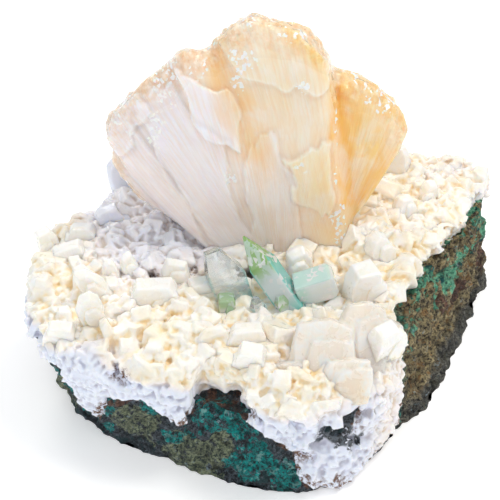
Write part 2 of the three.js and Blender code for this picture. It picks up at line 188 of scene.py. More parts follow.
TURNS = random_turns(64, 5)


def cube_relief(points: Array, size: float, seed: int, fill: float = 0.75) -> Array:
    """The height of small turned cubes that push through a surface, from 0 up to about fill.

    Space is cut into cells, each with one cube at a random place, turn and size. At each point
    the relief is the largest of (half edge less the largest of the three distances from the
    cube's middle along its own axes), over the 27 cells round it, in units of the cell size.

    Args:
        points: places on the surface.
        size: edge of a cell.
        seed: picks another set of cubes.
        fill: the largest half edge, as a share of the cell size.

    Returns:
        One height for each place, in units of the cell size.
    """
    scaled = points / size
    low = np.floor(scaled)
    best = np.zeros(points.shape[:-1])
    for step in np.ndindex(3, 3, 3):
        cell = low + np.array(step) - 1
        offset = np.stack([cell_random(cell, seed + k) for k in range(3)], axis=-1)
        away = scaled - cell - offset
        turn = TURNS[(cell_random(cell, seed + 3) * 63.99).astype(int)]
        own = np.abs(np.einsum("...ij,...j->...i", turn, away))
        half = fill * (0.45 + 0.55 * cell_random(cell, seed + 4))
        best = np.maximum(best, half - own.max(axis=-1))
    return best


def smooth_run(known: Array, place: Array) -> Array:
    """A smooth curve through evenly spaced values, or rows of values, carried on straight at both ends.

    Between two values b and c, with a before and d after, the curve is the cubic with the
    slopes of the chords a to c and b to d.

    Args:
        known: the values, one to each whole place.
        place: where to read the curve.

    Returns:
        The curve's value at each place.
    """
    low = np.minimum(place.astype(int), len(known) - 2)
    u = (place - low).reshape(place.shape + (1,) * (known.ndim - 1))
    longer = np.concatenate([2 * known[:1] - known[1:2], known, 2 * known[-1:] - known[-2:-1]])
    a, b, c, d = (longer[low + k] for k in range(4))
    return b + 0.5 * u * (c - a + u * (2 * a - 5 * b + 4 * c - d + u * (3 * (b - c) + d - a)))


def along_list(values: Sequence[float], share: Array) -> Array:
    """The smooth run through values, read at shares from 0 to 1 of the way along them."""
    return smooth_run(np.array(values, float), np.clip(share, 0, 1) * (len(values) - 1))


# ---------------------------------------------------------------- meshes


def signed_volume(vertices: Array, faces: Sequence[Array]) -> float:
    """Volume inside faces, negative if they face inwards: a sum of origin tetrahedra over each fan."""
    total = 0.0
    for block in faces:
        for k in range(1, block.shape[1] - 1):
            a, b, c = vertices[block[:, 0]], vertices[block[:, k]], vertices[block[:, k + 1]]
            total += float(np.einsum("ij,ij->", a, np.cross(b, c))) / 6
    return total


def put_object(name: str, mesh: bpy.types.Mesh) -> bpy.types.Object:
    """Puts a mesh into the scene as a piece of its own name."""
    mesh.name = name
    piece = bpy.data.objects.new(name, mesh)
    bpy.context.scene.collection.objects.link(piece)
    return piece


def shaped_mesh(piece: bpy.types.Object) -> bpy.types.Mesh:
    """A new mesh of a piece as its modifiers shape it."""
    return bpy.data.meshes.new_from_object(piece.evaluated_get(bpy.context.evaluated_depsgraph_get()))


def place_vertices(mesh: bpy.types.Mesh, places: Array) -> None:
    """Moves a mesh's vertices to places in millimetres in the bench frame."""
    mesh.vertices.foreach_set("co", ((places + BENCH_TO_ROW) * METRES).astype(np.float32).ravel())


def put_mesh(name: str, vertices: Array, faces: Sequence[Array]) -> bpy.types.Object:
    """Puts a closed surface into the scene, facing outwards.

    Args:
        name: the piece's name.
        vertices: places in millimetres in the bench frame.
        faces: blocks of faces, each an array with one row of vertex numbers a face.

    Returns:
        The new object.
    """
    if signed_volume(vertices, faces) < 0:
        faces = [block[:, ::-1] for block in faces]
    mesh = bpy.data.meshes.new(name)
    mesh.vertices.add(len(vertices))
    place_vertices(mesh, vertices)
    corners = np.concatenate([block.ravel() for block in faces])
    sizes = np.concatenate([np.full(len(block), block.shape[1]) for block in faces])
    mesh.loops.add(len(corners))
    mesh.loops.foreach_set("vertex_index", corners.astype(np.int32))
    mesh.polygons.add(len(sizes))
    mesh.polygons.foreach_set("loop_start", (np.cumsum(sizes) - sizes).astype(np.int32))
    mesh.update(calc_edges=True)
    mesh.shade_smooth()
    return put_object(name, mesh)


def dress(piece: bpy.types.Object, material: bpy.types.Material, slot: str, *nodes: str) -> None:
    """Gives a piece its finish and its place in the frame.

    Args:
        piece: the object.
        material: its finish.
        slot: the record's material slot; not used.
        nodes: the CAD nodes that it stands for.
    """
    piece.data.materials.clear()
    piece.data.materials.append(material)
    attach(piece, "root")
    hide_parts(*nodes)
    LOG.info("%s: %d faces", piece.name, len(piece.data.polygons))


def grid_faces(rows: int, columns: int, closed_columns: bool = False) -> Array:
    """The quads of a grid numbered row by row, with the last column joined to the first if asked."""
    across = columns if closed_columns else columns - 1
    i, j = np.meshgrid(np.arange(rows - 1), np.arange(across), indexing="ij")
    after = (j + 1) % columns
    quads = [i * columns + j, i * columns + after, (i + 1) * columns + after, (i + 1) * columns + j]
    return np.stack(quads, axis=-1).reshape(-1, 4)


def grid_normals(points: Array, wrap: bool = False) -> Array:
    """Unit normals of a grid surface: the cross product of its two directions of travel.

    Args:
        points: rows by columns by three.
        wrap: true if the last column joins the first.

    Returns:
        Normals in the same arrangement.
    """
    down = np.gradient(points, axis=0)
    if wrap:
        along = (np.roll(points, -1, axis=1) - np.roll(points, 1, axis=1)) / 2
    else:
        along = np.gradient(points, axis=1)
    normal = np.cross(along, down)
    return normal / np.maximum(np.linalg.norm(normal, axis=-1, keepdims=True), 1e-9)


def slab_faces(rows: int, columns: int) -> list[Array]:
    """The faces of a closed slab: an outer grid, an inner grid numbered after it, and four walls."""
    outer = grid_faces(rows, columns)
    inner = outer[:, ::-1] + rows * columns
    ends = [np.arange(columns), (rows - 1) * columns + np.arange(columns)[::-1],
            np.arange(rows)[::-1] * columns, np.arange(rows) * columns + columns - 1]
    walls = [np.stack([line[1:], line[:-1], line[:-1] + rows * columns, line[1:] + rows * columns], axis=-1)
             for line in ends]
    return [outer, inner, *walls]


def melt(name: str, bodies: Sequence[tuple[Array, Sequence[Array]]], voxel: float) -> bpy.types.Object:
    """Grows overlapping closed bodies together into one body with a single skin.

    Space is cut into voxels, and the new skin is the boundary of the voxels that any body fills.

    Args:
        name: the piece's name.
        bodies: vertices in millimetres in the bench frame, and blocks of faces, of each body.
        voxel: edge of a voxel in millimetres.

    Returns:
        The new object.
    """
    starts = np.cumsum([0] + [len(vertices) for vertices, _ in bodies])
    faces = []
    for (vertices, blocks), start in zip(bodies, starts):
        turned = signed_volume(vertices, blocks) < 0
        faces += [(block[:, ::-1] if turned else block) + start for block in blocks]
    heap = put_mesh(name + "_heap", np.vstack([vertices for vertices, _ in bodies]), faces)
    skin = heap.modifiers.new("melt", "REMESH")
    skin.mode, skin.voxel_size, skin.adaptivity = "VOXEL", voxel * METRES, 0.0
    shaped = shaped_mesh(heap)
    spent = heap.data
    bpy.data.objects.remove(heap)
    bpy.data.meshes.remove(spent)
    shaped.shade_smooth()
    return put_object(name, shaped)


def read_vertices(piece: bpy.types.Object) -> tuple[Array, Array]:
    """A piece's vertices in millimetres in the bench frame, and its vertex normals."""
    found = []
    for key in ("co", "normal"):
        flat = np.zeros(len(piece.data.vertices) * 3, np.float32)
        piece.data.vertices.foreach_get(key, flat)
        found.append(flat.reshape(-1, 3).astype(float))
    return found[0] / METRES - BENCH_TO_ROW, found[1]


def store(piece: bpy.types.Object, places: Array | None = None, **attributes: Array) -> None:
    """Moves a piece's vertices, if places are given, and stores values on them."""
    mesh = piece.data
    if places is not None:
        place_vertices(mesh, places)
        mesh.update()
    for key, values in attributes.items():
        kind, part = ("FLOAT", "value") if values.ndim == 1 else ("FLOAT_VECTOR", "vector")
        mesh.attributes.new(key, kind, "POINT").data.foreach_set(part, values.astype(np.float32).ravel())


def evened(piece: bpy.types.Object, values: Array, rounds: int) -> Array:
    """Values on a piece's vertices, each round replaced by the mean over the joined vertices."""
    edges = np.zeros(len(piece.data.edges) * 2, np.int32)
    piece.data.edges.foreach_get("vertices", edges)
    a, b = edges.reshape(-1, 2).T
    count = len(values)
    share = np.maximum(np.bincount(a, minlength=count) + np.bincount(b, minlength=count), 1)[:, None]
    result = values.astype(float)
    for _ in range(rounds):
        total = np.stack([np.bincount(a, weights=result[b, k], minlength=count)
                          + np.bincount(b, weights=result[a, k], minlength=count)
                          for k in range(result.shape[1])], axis=-1)
        result = total / share
    return result


# ---------------------------------------------------------------- finishes


class Recipe:
    """A material while it is wired: each method adds nodes and returns the socket to use."""

    def __init__(self, name: str) -> None:
        """Starts an empty material with its Principled shader and its output."""
        self.material = bpy.data.materials.new(name)
        self.material.use_nodes = True
        self.tree = self.material.node_tree
        self.shader = self.tree.nodes["Principled BSDF"]
        self.output = self.tree.nodes["Material Output"]
        self.place = self.node("TexCoord", "Object", {})

    def node(self, kind: str, out: str | int, inputs: dict, **settings: str | bool) -> Socket:
        """Adds a node to the material.

        Args:
            kind: the node's type.
            out: the name or number of the output to use.
            inputs: a value or a socket for each input, by its name or number.
            settings: the node's own settings.

        Returns:
            The output's socket.
        """
        node = self.tree.nodes.new("ShaderNode" + kind)
        for key, value in settings.items():
            setattr(node, key, value)
        for key, value in inputs.items():
            if isinstance(value, Socket):
                self.wire(value, node.inputs[key])
            else:
                node.inputs[key].default_value = value
        return node.outputs[out]

    def set(self, **values: float | tuple) -> None:
        """Sets the shader's own sockets, with underscores for the spaces in their names."""
        for key, value in values.items():
            self.shader.inputs[key.replace("_", " ")].default_value = value

    def wire(self, source: Socket, target: Socket) -> None:
        """Joins two sockets."""
        self.tree.links.new(source, target)

    def feed(self, source: Socket, socket: str) -> None:
        """Joins a socket to one of the shader's."""
        self.wire(source, self.shader.inputs[socket])

    def attribute(self, name: str, part: str = "Fac") -> Socket:
        """A value stored on the piece's vertices."""
        return self.node("Attribute", part, {}, attribute_name=name)

    def vector(self, operation: str, a: Socket, b: Socket | tuple, out: str = "Vector") -> Socket:
        """A sum worked out on two places or colours."""
        return self.node("VectorMath", out, {0: a, 1: b}, operation=operation)

    def math(self, operation: str, a: Socket | float, b: Socket | float) -> Socket:
        """A sum worked out on two values, held between 0 and 1."""
        return self.node("Math", 0, {0: a, 1: b}, operation=operation, use_clamp=True)

    def noise(self, size: float, detail: float = 3.0, rough: float = 0.55, twist: float = 0.0) -> Socket:
        """Cloudy noise from 0 to 1 whose grain is size millimetres."""
        return self.node("TexNoise", "Fac", {"Scale": 1 / (size * METRES), "Detail": detail,
                                             "Roughness": rough, "Distortion": twist, "Vector": self.place})

    def streaks(self, place: Socket, scale: tuple, detail: float = 3.0, rough: float = 0.6,
                twist: float = 0.0) -> Socket:
        """Noise from 0 to 1 on a stored place in millimetres, finer where the scale is larger."""
        return self.node("TexNoise", "Fac", {"Scale": 1.0, "Detail": detail, "Roughness": rough,
                                             "Distortion": twist,
                                             "Vector": self.vector("MULTIPLY", place, scale)})

    def cells(self, size: float, part: str = "Distance") -> Socket:
        """The distance to the nearest of scattered seeds about size millimetres apart, or its colour."""
        return self.node("TexVoronoi", part, {"Scale": 1 / (size * METRES), "Vector": self.place})

    def step(self, source: Socket, low: float, high: float, to_low: float = 0.0,
             to_high: float = 1.0) -> Socket:
        """A smooth change from one value to another as the source goes from low to high."""
        return self.node("MapRange", "Result", {"Value": source, "From Min": low, "From Max": high,
                                                "To Min": to_low, "To Max": to_high},
                         interpolation_type="SMOOTHSTEP")

    def mix(self, share: Socket, a: Socket | Colour, b: Socket | Colour, blend: str = "MIX") -> Socket:
        """A blend of two colours."""
        first, second = ((*value, 1.0) if isinstance(value, tuple) else value for value in (a, b))
        return self.node("Mix", 2, {0: share, 6: first, 7: second}, data_type="RGBA", blend_type=blend)

    def over(self, under: Socket, source: Socket, low: float, high: float, strength: float,
             laid: Socket | Colour, blend: str = "MIX") -> Socket:
        """A colour laid on another as the source goes from low to high, up to a strength."""
        return self.mix(self.step(source, low, high, 0.0, strength), under, laid, blend)

    def facets(self, size: float, depth: Socket) -> Socket:
        """A normal tilted at random in each scattered cell, as small flat faces glitter.

        The height is the place in the cell multiplied by the cell's own random direction.
        """
        seed = self.cells(size, "Position")
        away = self.vector("SUBTRACT", self.place, seed)
        way = self.vector("SUBTRACT", seed.node.outputs["Color"], (0.5, 0.5, 0.5))
        height = self.vector("DOT_PRODUCT", self.vector("MULTIPLY", away, (1 / METRES,) * 3), way, "Value")
        return self.node("Bump", "Normal", {"Distance": METRES, "Height": height, "Strength": depth})

    def bump(self, height: Socket, depth: float, below: Socket | None = None) -> Socket:
        """Small relief, depth millimetres high, laid over an earlier one if given."""
        inputs = {"Distance": depth * METRES, "Height": height}
        if below is not None:
            inputs["Normal"] = below
        return self.node("Bump", "Normal", inputs)


@dataclass(frozen=True)
class SheafFinish:
    """Translucent stilbite of the fan: satin faces lined along the rays, glittering at the crown."""

    scatter: float = 3.4  # millimetres that light travels inside

    @staticmethod
    def streaked(r: Recipe, scale: tuple[float, float, float], rough: float) -> Socket:
        """Streaks along each lobe's own rays deep inside it, and along the whole fan's where lobes meet."""
        calm = r.attribute("calm")
        own, shared = (r.streaks(r.attribute(key, "Vector"), scale, 3, rough) for key in ("grain", "ray"))
        meeting = r.math("SUBTRACT", 1.0, calm)
        return r.math("ADD", r.math("MULTIPLY", own, calm), r.math("MULTIPLY", shared, meeting))

    def material(self) -> bpy.types.Material:
        """The finish as a material that reads tint, grain, ray, calm, rim and spark on the vertices."""
        r = Recipe("stilbite_sheaf")
        rim, spark = r.attribute("rim"), r.attribute("spark")
        fibres = self.streaked(r, (2.4, 0.07, 1.0), 0.6)
        broad = self.streaked(r, (0.45, 0.06, 0.6), 0.55)
        veils = r.noise(8.0, 4, 0.6, 0.8)
        pale = r.math("MULTIPLY", broad, veils)
        colour = r.over(r.attribute("tint", "Color"), pale, 0.16, 0.4, 0.4, tint(252, 249, 250))
        colour = r.over(colour, fibres, 0.36, 0.68, 0.4, tint(250, 228, 200), "MULTIPLY")
        mottle = r.math("MULTIPLY", rim, r.step(r.noise(2.0, 5, 0.7), 0.4, 0.62))
        colour = r.over(colour, mottle, 0.0, 1.0, 0.5, tint(248, 222, 184), "MULTIPLY")
        # Painted glints: white specks laid on the colour where spark is strong, as small faces catching the
        # lamps.
        painted_glint_chance = r.math("ADD", r.cells(0.75, "Color"), r.math("MULTIPLY", spark, 0.24))
        fleck = r.math("MULTIPLY", r.step(painted_glint_chance, 0.72, 0.76), r.step(spark, 0.05, 0.2))
        r.feed(r.mix(fleck, colour, tint(255, 254, 250)), "Base Color")
        r.set(Subsurface_Weight=0.9, Subsurface_Radius=(1.0, 0.8, 0.62),
              Subsurface_Scale=self.scatter * METRES, IOR=1.5, Coat_Weight=0.4, Coat_Roughness=0.08)
        polish = r.math("ADD", rim, r.math("MULTIPLY", veils, 0.3))
        r.feed(r.step(polish, 0.1, 0.9, 0.36, 0.1), "Roughness")
        glitter = r.facets(1.1, r.step(r.math("ADD", rim, fleck), 0.2, 0.9, 0.04, 0.7))
        ridges = r.step(fibres, 0.3, 0.7)
        wavy = r.bump(broad, 0.5, r.bump(ridges, 0.07, glitter))
        r.feed(r.bump(r.step(r.cells(2.4), 0.0, 0.12), 0.05, wavy), "Normal")
        r.feed(r.bump(ridges, 0.03, glitter), "Coat Normal")
        return r.material


@dataclass(frozen=True)
class DruseFinish:
    """Small zeolite crystals: cream and white at the tips; where they are rooted, golden as painted warm
    crevice shade, or dirty.
    """

    scatter: float = 0.7  # millimetres that light travels inside

    def material(self) -> bpy.types.Material:
        """The finish as a material that reads depth, cool, stain and black on the vertices."""
        r = Recipe("zeolite_druse")
        depth, cool, stain, black = (r.attribute(key) for key in ("depth", "cool", "stain", "black"))
        patches = r.noise(7.0, 4, 0.6)
        # Painted warm crevice shade: at the roots, where depth is low, golden to pale cream in random
        # patches.
        crevice_shade_gold = r.mix(r.step(patches, 0.4, 0.66), tint(250, 222, 172), tint(250, 238, 218))
        tip = r.mix(r.step(patches, 0.35, 0.62), tint(255, 240, 222), tint(254, 246, 240))
        # Where painted bluish shade lies, the roots and the tips turn bluish grey.
        root = r.mix(cool, crevice_shade_gold, tint(198, 198, 212))
        tip = r.mix(cool, tip, tint(230, 235, 248))
        colour = r.mix(r.step(depth, 0.0, 0.55), root, tip)
        crumbs = r.noise(1.6, 5, 0.75)
        speck = r.step(crumbs, 0.47, 0.56)
        low = r.math("MAXIMUM", r.step(depth, 0.9, 0.2), r.step(stain, 0.6, 0.9))
        dirt = r.math("MULTIPLY", r.step(stain, 0.1, 0.7), r.math("MULTIPLY", speck, low))
        colour = r.mix(dirt, colour, tint(104, 70, 48))
        # Near black with paler specks in the black pockets.
        black_pocket_colour = r.mix(r.step(speck, 0.0, 1.0), tint(20, 23, 28), tint(84, 92, 100))
        in_black_pocket = r.math("MULTIPLY", black, r.step(crumbs, 0.3, 0.5))
        r.feed(r.over(colour, in_black_pocket, 0.25, 0.5, 1.0, black_pocket_colour), "Base Color")
        r.feed(r.step(r.math("MAXIMUM", black, dirt), 0.0, 0.5, 0.8, 0.0), "Subsurface Weight")
        r.set(Subsurface_Radius=(1.0, 0.88, 0.72), Subsurface_Scale=self.scatter * METRES, IOR=1.5,
              Coat_Weight=0.2, Coat_Roughness=0.2)
        r.feed(r.step(r.noise(2.2, 2), 0.3, 0.7, 0.2, 0.5), "Roughness")
        glints = r.facets(0.9, r.step(r.noise(5.0, 2), 0.45, 0.65, 0.05, 0.4))
        r.feed(r.bump(r.noise(0.5, 4, 0.6), 0.08, glints), "Normal")
        return r.material


@dataclass(frozen=True)
class PearlFinish:
    """Single stilbite crystals: milky, faintly lined along their length, pearly on the broad face."""

    name: str
    body: Colour
    root: Colour
    scatter: float = 1.6  # millimetres that light travels inside
    clearness: float = 0.0

    def material(self) -> bpy.types.Material:
        """The finish as a material that reads grain, depth and cool on the vertices."""
        r = Recipe(self.name)
        lines = r.streaks(r.attribute("grain", "Vector"), (2.2, 1.2, 0.16))
        clouds = r.noise(3.5, 4, 0.6, 0.6)
        # Warmer towards the root, where the crystal stands down among the druse: painted crevice shade.
        colour = r.mix(r.step(r.attribute("depth"), 0.0, 0.5), self.root, self.body)
        colour = r.over(colour, clouds, 0.42, 0.66, 0.75, tint(252, 250, 248))
        # Painted bluish shade on crystals that stand in the fan's shadow.
        r.feed(r.over(colour, r.attribute("cool"), 0.0, 1.0, 0.8, tint(222, 228, 246)), "Base Color")
        r.set(Subsurface_Weight=0.9, Subsurface_Radius=(1.0, 0.86, 0.7),
              Subsurface_Scale=self.scatter * METRES, IOR=1.5, Coat_Weight=0.3, Coat_Roughness=0.1,
              Transmission_Weight=self.clearness)
        r.feed(r.step(clouds, 0.3, 0.7, 0.2, 0.42), "Roughness")
        r.feed(r.bump(lines, 0.1, r.bump(clouds, 0.12)), "Normal")
        return r.material


@dataclass(frozen=True)
class ClearFinish:
    """Clear apophyllite: polished faces, coloured from tip to root, with healed cracks inside that show as
    painted white reflections.
    """

    name: str
    tip: Colour
    root: Colour
    inside: Colour  # of the light that has passed through
    density: float
    clearness: float
    glow: float = 0.8  # share of light that milky veils scatter

    def material(self) -> bpy.types.Material:
        """The finish as a see-through material that reads grain, depth and side on the vertices."""
        r = Recipe(self.name)
        r.set(Transmission_Weight=self.clearness, IOR=1.5, Coat_Weight=0.6, Coat_Roughness=0.02,
              Subsurface_Weight=self.glow, Subsurface_Radius=(0.8, 1.0, 0.95), Subsurface_Scale=1.5 * METRES)
        grain, depth = r.attribute("grain", "Vector"), r.attribute("depth")
        clouds = r.streaks(grain, (0.5, 0.5, 0.24), twist=0.4)
        colour = r.mix(r.step(depth, 0.12, 0.4), self.root, tint(238, 248, 250))
        colour = r.over(colour, depth, 0.5, 0.72, 1.0, self.tip)
        colour = r.over(colour, clouds, 0.5, 0.56, 0.6, tint(236, 248, 254))
        # The side faces take the root colour: painted shade on the sides.
        colour = r.over(colour, r.attribute("side"), 0.55, 0.95, 0.8, self.root)
        # Painted reflections: white patches where light would flash off healed cracks inside.
        broken = r.math("MULTIPLY", r.step(r.noise(3.4, 2), 0.5, 0.56), r.step(depth, 0.95, 0.7))
        painted_flash = r.math("MULTIPLY", r.step(r.cells(1.1, "Color"), 0.44, 0.48), broken)
        r.feed(r.mix(painted_flash, colour, tint(255, 255, 255)), "Base Color")
        r.feed(r.step(r.noise(3.0, 3), 0.5, 0.75, 0.02, 0.1), "Roughness")
        r.feed(r.bump(r.streaks(grain, (2.6, 2.6, 0.12), 2, 0.5), 0.02), "Normal")
        inside = r.node("VolumeAbsorption", "Volume", {"Color": (*self.inside, 1.0), "Density": self.density})
        r.wire(inside, r.output.inputs["Volume"])
        return r.material


@dataclass(frozen=True)
class BasaltFinish:
    """Dark vesicular basalt with teal, olive, turquoise and tan mineral linings."""

    def material(self) -> bpy.types.Material:
        """The finish as a material that reads teal, olive, right, brown and crack on the vertices."""
        r = Recipe("matrix_basalt")
        keys = ("teal", "olive", "right", "brown", "crack_and_shade")
        teal, olive, right, brown, crack_and_shade = (r.attribute(key) for key in keys)
        mottle = r.noise(3.4, 6, 0.7, 0.5)
        broken = r.noise(1.3, 5, 0.75, 0.3)
        fleck = r.noise(0.9, 6, 0.85)
        holes = r.cells(2.1)
        crumbs = r.math("ADD", r.step(mottle, 0.34, 0.66, 0.0, 0.6), r.step(broken, 0.34, 0.66, 0.0, 0.5))

        def patch(share: Socket, least: float) -> Socket:
            """A patch whose edge and inside are broken up by both sizes of mottling."""
            return r.step(r.math("MULTIPLY", r.step(share, 0.0, 0.7), crumbs), least, least + 0.1)

        def flecked(dark: Colour, light: Colour, low: float = 0.42, high: float = 0.58) -> Socket:
            """A dark colour with light flecks."""
            return r.mix(r.step(fleck, low, high), dark, light)

        dark = flecked(tint(16, 19, 26), tint(112, 124, 134), 0.42, 0.6)
        dark = r.over(dark, mottle, 0.5, 0.6, 0.8, tint(24, 72, 76))
        green = flecked(tint(0, 62, 70), tint(12, 192, 186))
        green = r.over(green, mottle, 0.56, 0.64, 0.9, tint(150, 206, 200))
        colour = r.mix(patch(olive, 0.3), dark, flecked(tint(52, 70, 66), tint(178, 188, 150)))
        colour = r.mix(patch(teal, 0.28), colour, green)
        sand = flecked(tint(60, 50, 42), tint(214, 196, 146))
        sand = r.over(sand, mottle, 0.54, 0.6, 0.8, tint(178, 134, 78))
        sand = r.mix(r.step(r.cells(1.3), 0.1, 0.3, 0.85, 0.0), sand, tint(26, 24, 22))
        bright = flecked(tint(50, 150, 120), tint(150, 230, 190), 0.4)
        bright = r.over(bright, r.noise(4.4, 4, 0.6), 0.56, 0.62, 1.0, tint(4, 98, 100))
        spread = r.math("MULTIPLY", teal, r.step(r.noise(7.5, 4, 0.6, 0.4), 0.44, 0.52))
        colour = r.mix(right, colour, r.mix(patch(spread, 0.3), sand, bright))
        colour = r.mix(patch(brown, 0.38), colour, flecked(tint(62, 40, 32), tint(160, 118, 96), 0.4, 0.64))
        colour = r.over(colour, r.cells(1.9, "Color"), 0.5, 0.6, 0.35, tint(24, 28, 34))
        # Dark lines in the valleys between the raised blocks: real cracks, with painted shade in them.
        colour = r.over(colour, crack_and_shade, 0.3, 0.9, 0.6, tint(16, 17, 20))
        colour = r.mix(r.step(holes, 0.08, 0.26, 0.8, 0.0), colour, tint(14, 15, 18))
        r.feed(r.over(colour, r.noise(2.8, 6, 0.8), 0.6, 0.66, 0.8, tint(172, 196, 208)), "Base Color")
        r.set(Roughness=0.62, Specular_IOR_Level=0.5)
        first = r.bump(r.step(holes, 0.0, 0.34), 0.5)
        r.feed(r.bump(fleck, 0.8, r.bump(broken, 1.2, first)), "Normal")
        return r.material


# ---------------------------------------------------------------- outline shared by rock and crust

# Foot [x, y] and shoulder [x, y, z] of the rock, counterclockwise from the right front.
OUTLINE = (
    ((45, -17), (37.5, -14, 27)), ((51.5, -3.5), (44.5, 3, 27.5)), ((61, 19.5), (55, 17, 28)),
    ((65.6, 31), (62, 33, 28)), ((58, 42), (58, 42, 28)), ((38, 45), (45, 47, 26)),
    ((12, 44), (14, 48, 24)), ((-10, 40), (-12, 45, 24)), ((-28, 33), (-30, 38, 24)),
    ((-38, 21), (-42, 24, 24)), ((-46, 9), (-50, 10, 25)), ((-46.5, -7), (-53, -5, 25)),
    ((-44, -18.5), (-51.5, -16, 24)), ((-36, -27), (-39, -29.5, 24)), ((-23, -34.5), (-22, -34.5, 23)),
    ((-10.5, -40.5), (-8.5, -37, 22)), ((1, -44.5), (1, -40, 22)), ((12, -45.5), (11, -41.5, 21)),
    ((22, -43), (20, -41, 21)), ((31, -33.5), (28.5, -33, 22)), ((38, -24.5), (33.5, -24, 24)),
)

# Height of the crust's lower edge, as [place along OUTLINE, z].
CRUST_EDGE = (
    (0, 26), (3, 26), (4, 18), (5, 9), (6, 12), (7, 8), (8, 13), (9, 9), (10, 13), (11, 17),
    (12, 21), (12.6, 19), (13, 5), (13.3, 15), (14, 19), (14.3, 14.5), (14.7, 18.5), (15, 23),
    (15.4, 23), (15.9, 18), (16.4, 14), (16.8, 12), (17, 4), (17.3, 1), (19, 1), (19.6, 3),
    (20, 8), (20.4, 22), (21, 26),
)


def closed_curve(points: Array, places: Array) -> Array:
    """A smooth closed curve through points, read at places counted along them.

    Each stretch is a cubic whose end slopes come from the two chords beside it, weighted by
    the fourth root of the chords' squared lengths, so that close points make no loops.

    Args:
        points: the control points, one a row.
        places: where to read the curve; a whole number is a control point.

    Returns:
        One point for each place.
    """
    count = len(points)
    low = np.floor(places).astype(int)
    u = (places - low)[:, None]
    a, b, c, d = (points[(low + k) % count] for k in (-1, 0, 1, 2))
    s0, s1, s2 = (np.sum((q - p) ** 2, axis=1, keepdims=True) ** 0.25 for p, q in ((a, b), (b, c), (c, d)))
    start = ((b - a) / s0 - (c - a) / (s0 + s1) + (c - b) / s1) * s1
    end = ((c - b) / s1 - (d - b) / (s1 + s2) + (d - c) / s2) * s1
    return b + u * (start + u * (3 * (c - b) - 2 * start - end + u * (2 * (b - c) + start + end)))


@dataclass
class Boulder:
    """The rock's outline, sampled finely, which the rock and the crust both follow."""

    columns: int = 640
    wave: float = 0.7
    places: Array = field(init=False)
    foot: Array = field(init=False)
    shoulder: Array = field(init=False)

    def __post_init__(self) -> None:
        """Samples the foot and the shoulder once."""
        self.places = np.arange(self.columns) * len(OUTLINE) / self.columns
        feet = np.array([(*foot, 0.0) for foot, _ in OUTLINE], float)
        shoulders = np.array([shoulder for _, shoulder in OUTLINE], float)
        self.foot = closed_curve(feet, self.places)
        self.shoulder = closed_curve(shoulders, self.places)

    @staticmethod
    def unevenness(p: Array) -> Array:
        """The mean of three sine waves across the place, between -1 and 1, as in the solid rock."""
        x, y, z = np.moveaxis(p, -1, 0)
        slow = np.sin(0.31 * x + 0.17 * y + 0.4 * z)
        medium = np.sin(0.53 * y - 0.41 * x + 0.23 * z + 1.7)
        quick = np.sin(0.93 * x + 0.71 * y - 0.8 * z + 4.1)
        return (slow + medium + quick) / 3

    def side(self, share: Array, out: Array | float) -> Array:
        """Points on the rock's side: share of the way from foot to shoulder, and out further away."""
        share = np.broadcast_to(share, self.places.shape)[:, None]
        point = self.foot + (self.shoulder - self.foot) * share
        away = point * [1, 1, 0]
        away = away / np.linalg.norm(away, axis=1, keepdims=True)
        bump = self.wave * self.unevenness(point)[:, None] * (share > 0)
        return point + away * (bump + np.broadcast_to(out, self.places.shape)[:, None])

    def at_height(self, z: Array, out: Array | float) -> Array:
        """Points on the rock's side at given heights."""
        return self.side(z / self.shoulder[:, 2], out)

    def top(self, share: Array | float, height: Array, rough: float) -> Array:
        """A ring over the top: the shoulder shrunk to a share, at its own height."""
        ring = self.shoulder * share
        ring[:, 2] = 0
        ring[:, 2] = height + rough * self.unevenness(ring)
        return ring


def stack_faces(rows: int, columns: int) -> list[Array]:
    """The faces of a stack of closed rings with a point below (first) and above (last)."""
    quads = grid_faces(rows, columns, closed_columns=True) + 1
    j = np.arange(columns)
    after = (j + 1) % columns
    last = 1 + rows * columns
    bottom = np.stack([np.zeros_like(j), 1 + after, 1 + j], axis=-1)
    top = np.stack([1 + (rows - 1) * columns + j, 1 + (rows - 1) * columns + after,
                    np.full_like(j, last)], axis=-1)
    return [quads, bottom, top]


class Lining(Enum):
    """Mineral linings of the rock, as patches [x, y, z, radius]."""

    TEAL = (
        (-32, -34, 16, 6), (-26, -36, 17.5, 6), (-21, -37, 18, 5), (-9, -38, 18, 6), (-3, -40, 16, 6),
        (4, -43, 8, 5), (8, -45, 4, 4.5), (-38, -29, 12, 5), (-17, -38, 12, 4), (-2, -42, 6, 4),
        (-48, -22, 14, 6), (-40, -27, 6, 4), (47.7, 6, 26, 6), (44.7, 1.5, 25, 4.5), (52, 12, 26, 5),
        (43, -5.6, 20.5, 3.6), (41.5, -11, 19.5, 4), (57, 20, 26, 5), (-45, -25, 9, 5), (-53, -14, 17, 5),
        (-36, -30, 3, 4), (63, 32, 25, 5), (20, 46, 6, 8), (-35, 24, 8, 7),
    )
    OLIVE = (
        (-49, -20, 8, 4), (-26.5, -33, 9, 6), (-30, -33, 10, 4), (-15, -38, 3.4, 7), (-12, -40, 2, 6),
        (-8, -40, 7, 5.5), (-44, -14, 5, 6),
    )
    BROWN = ((54.5, 11, 13, 4.5), (50.5, 4.5, 13.5, 3.6), (62, 26, 12, 6))


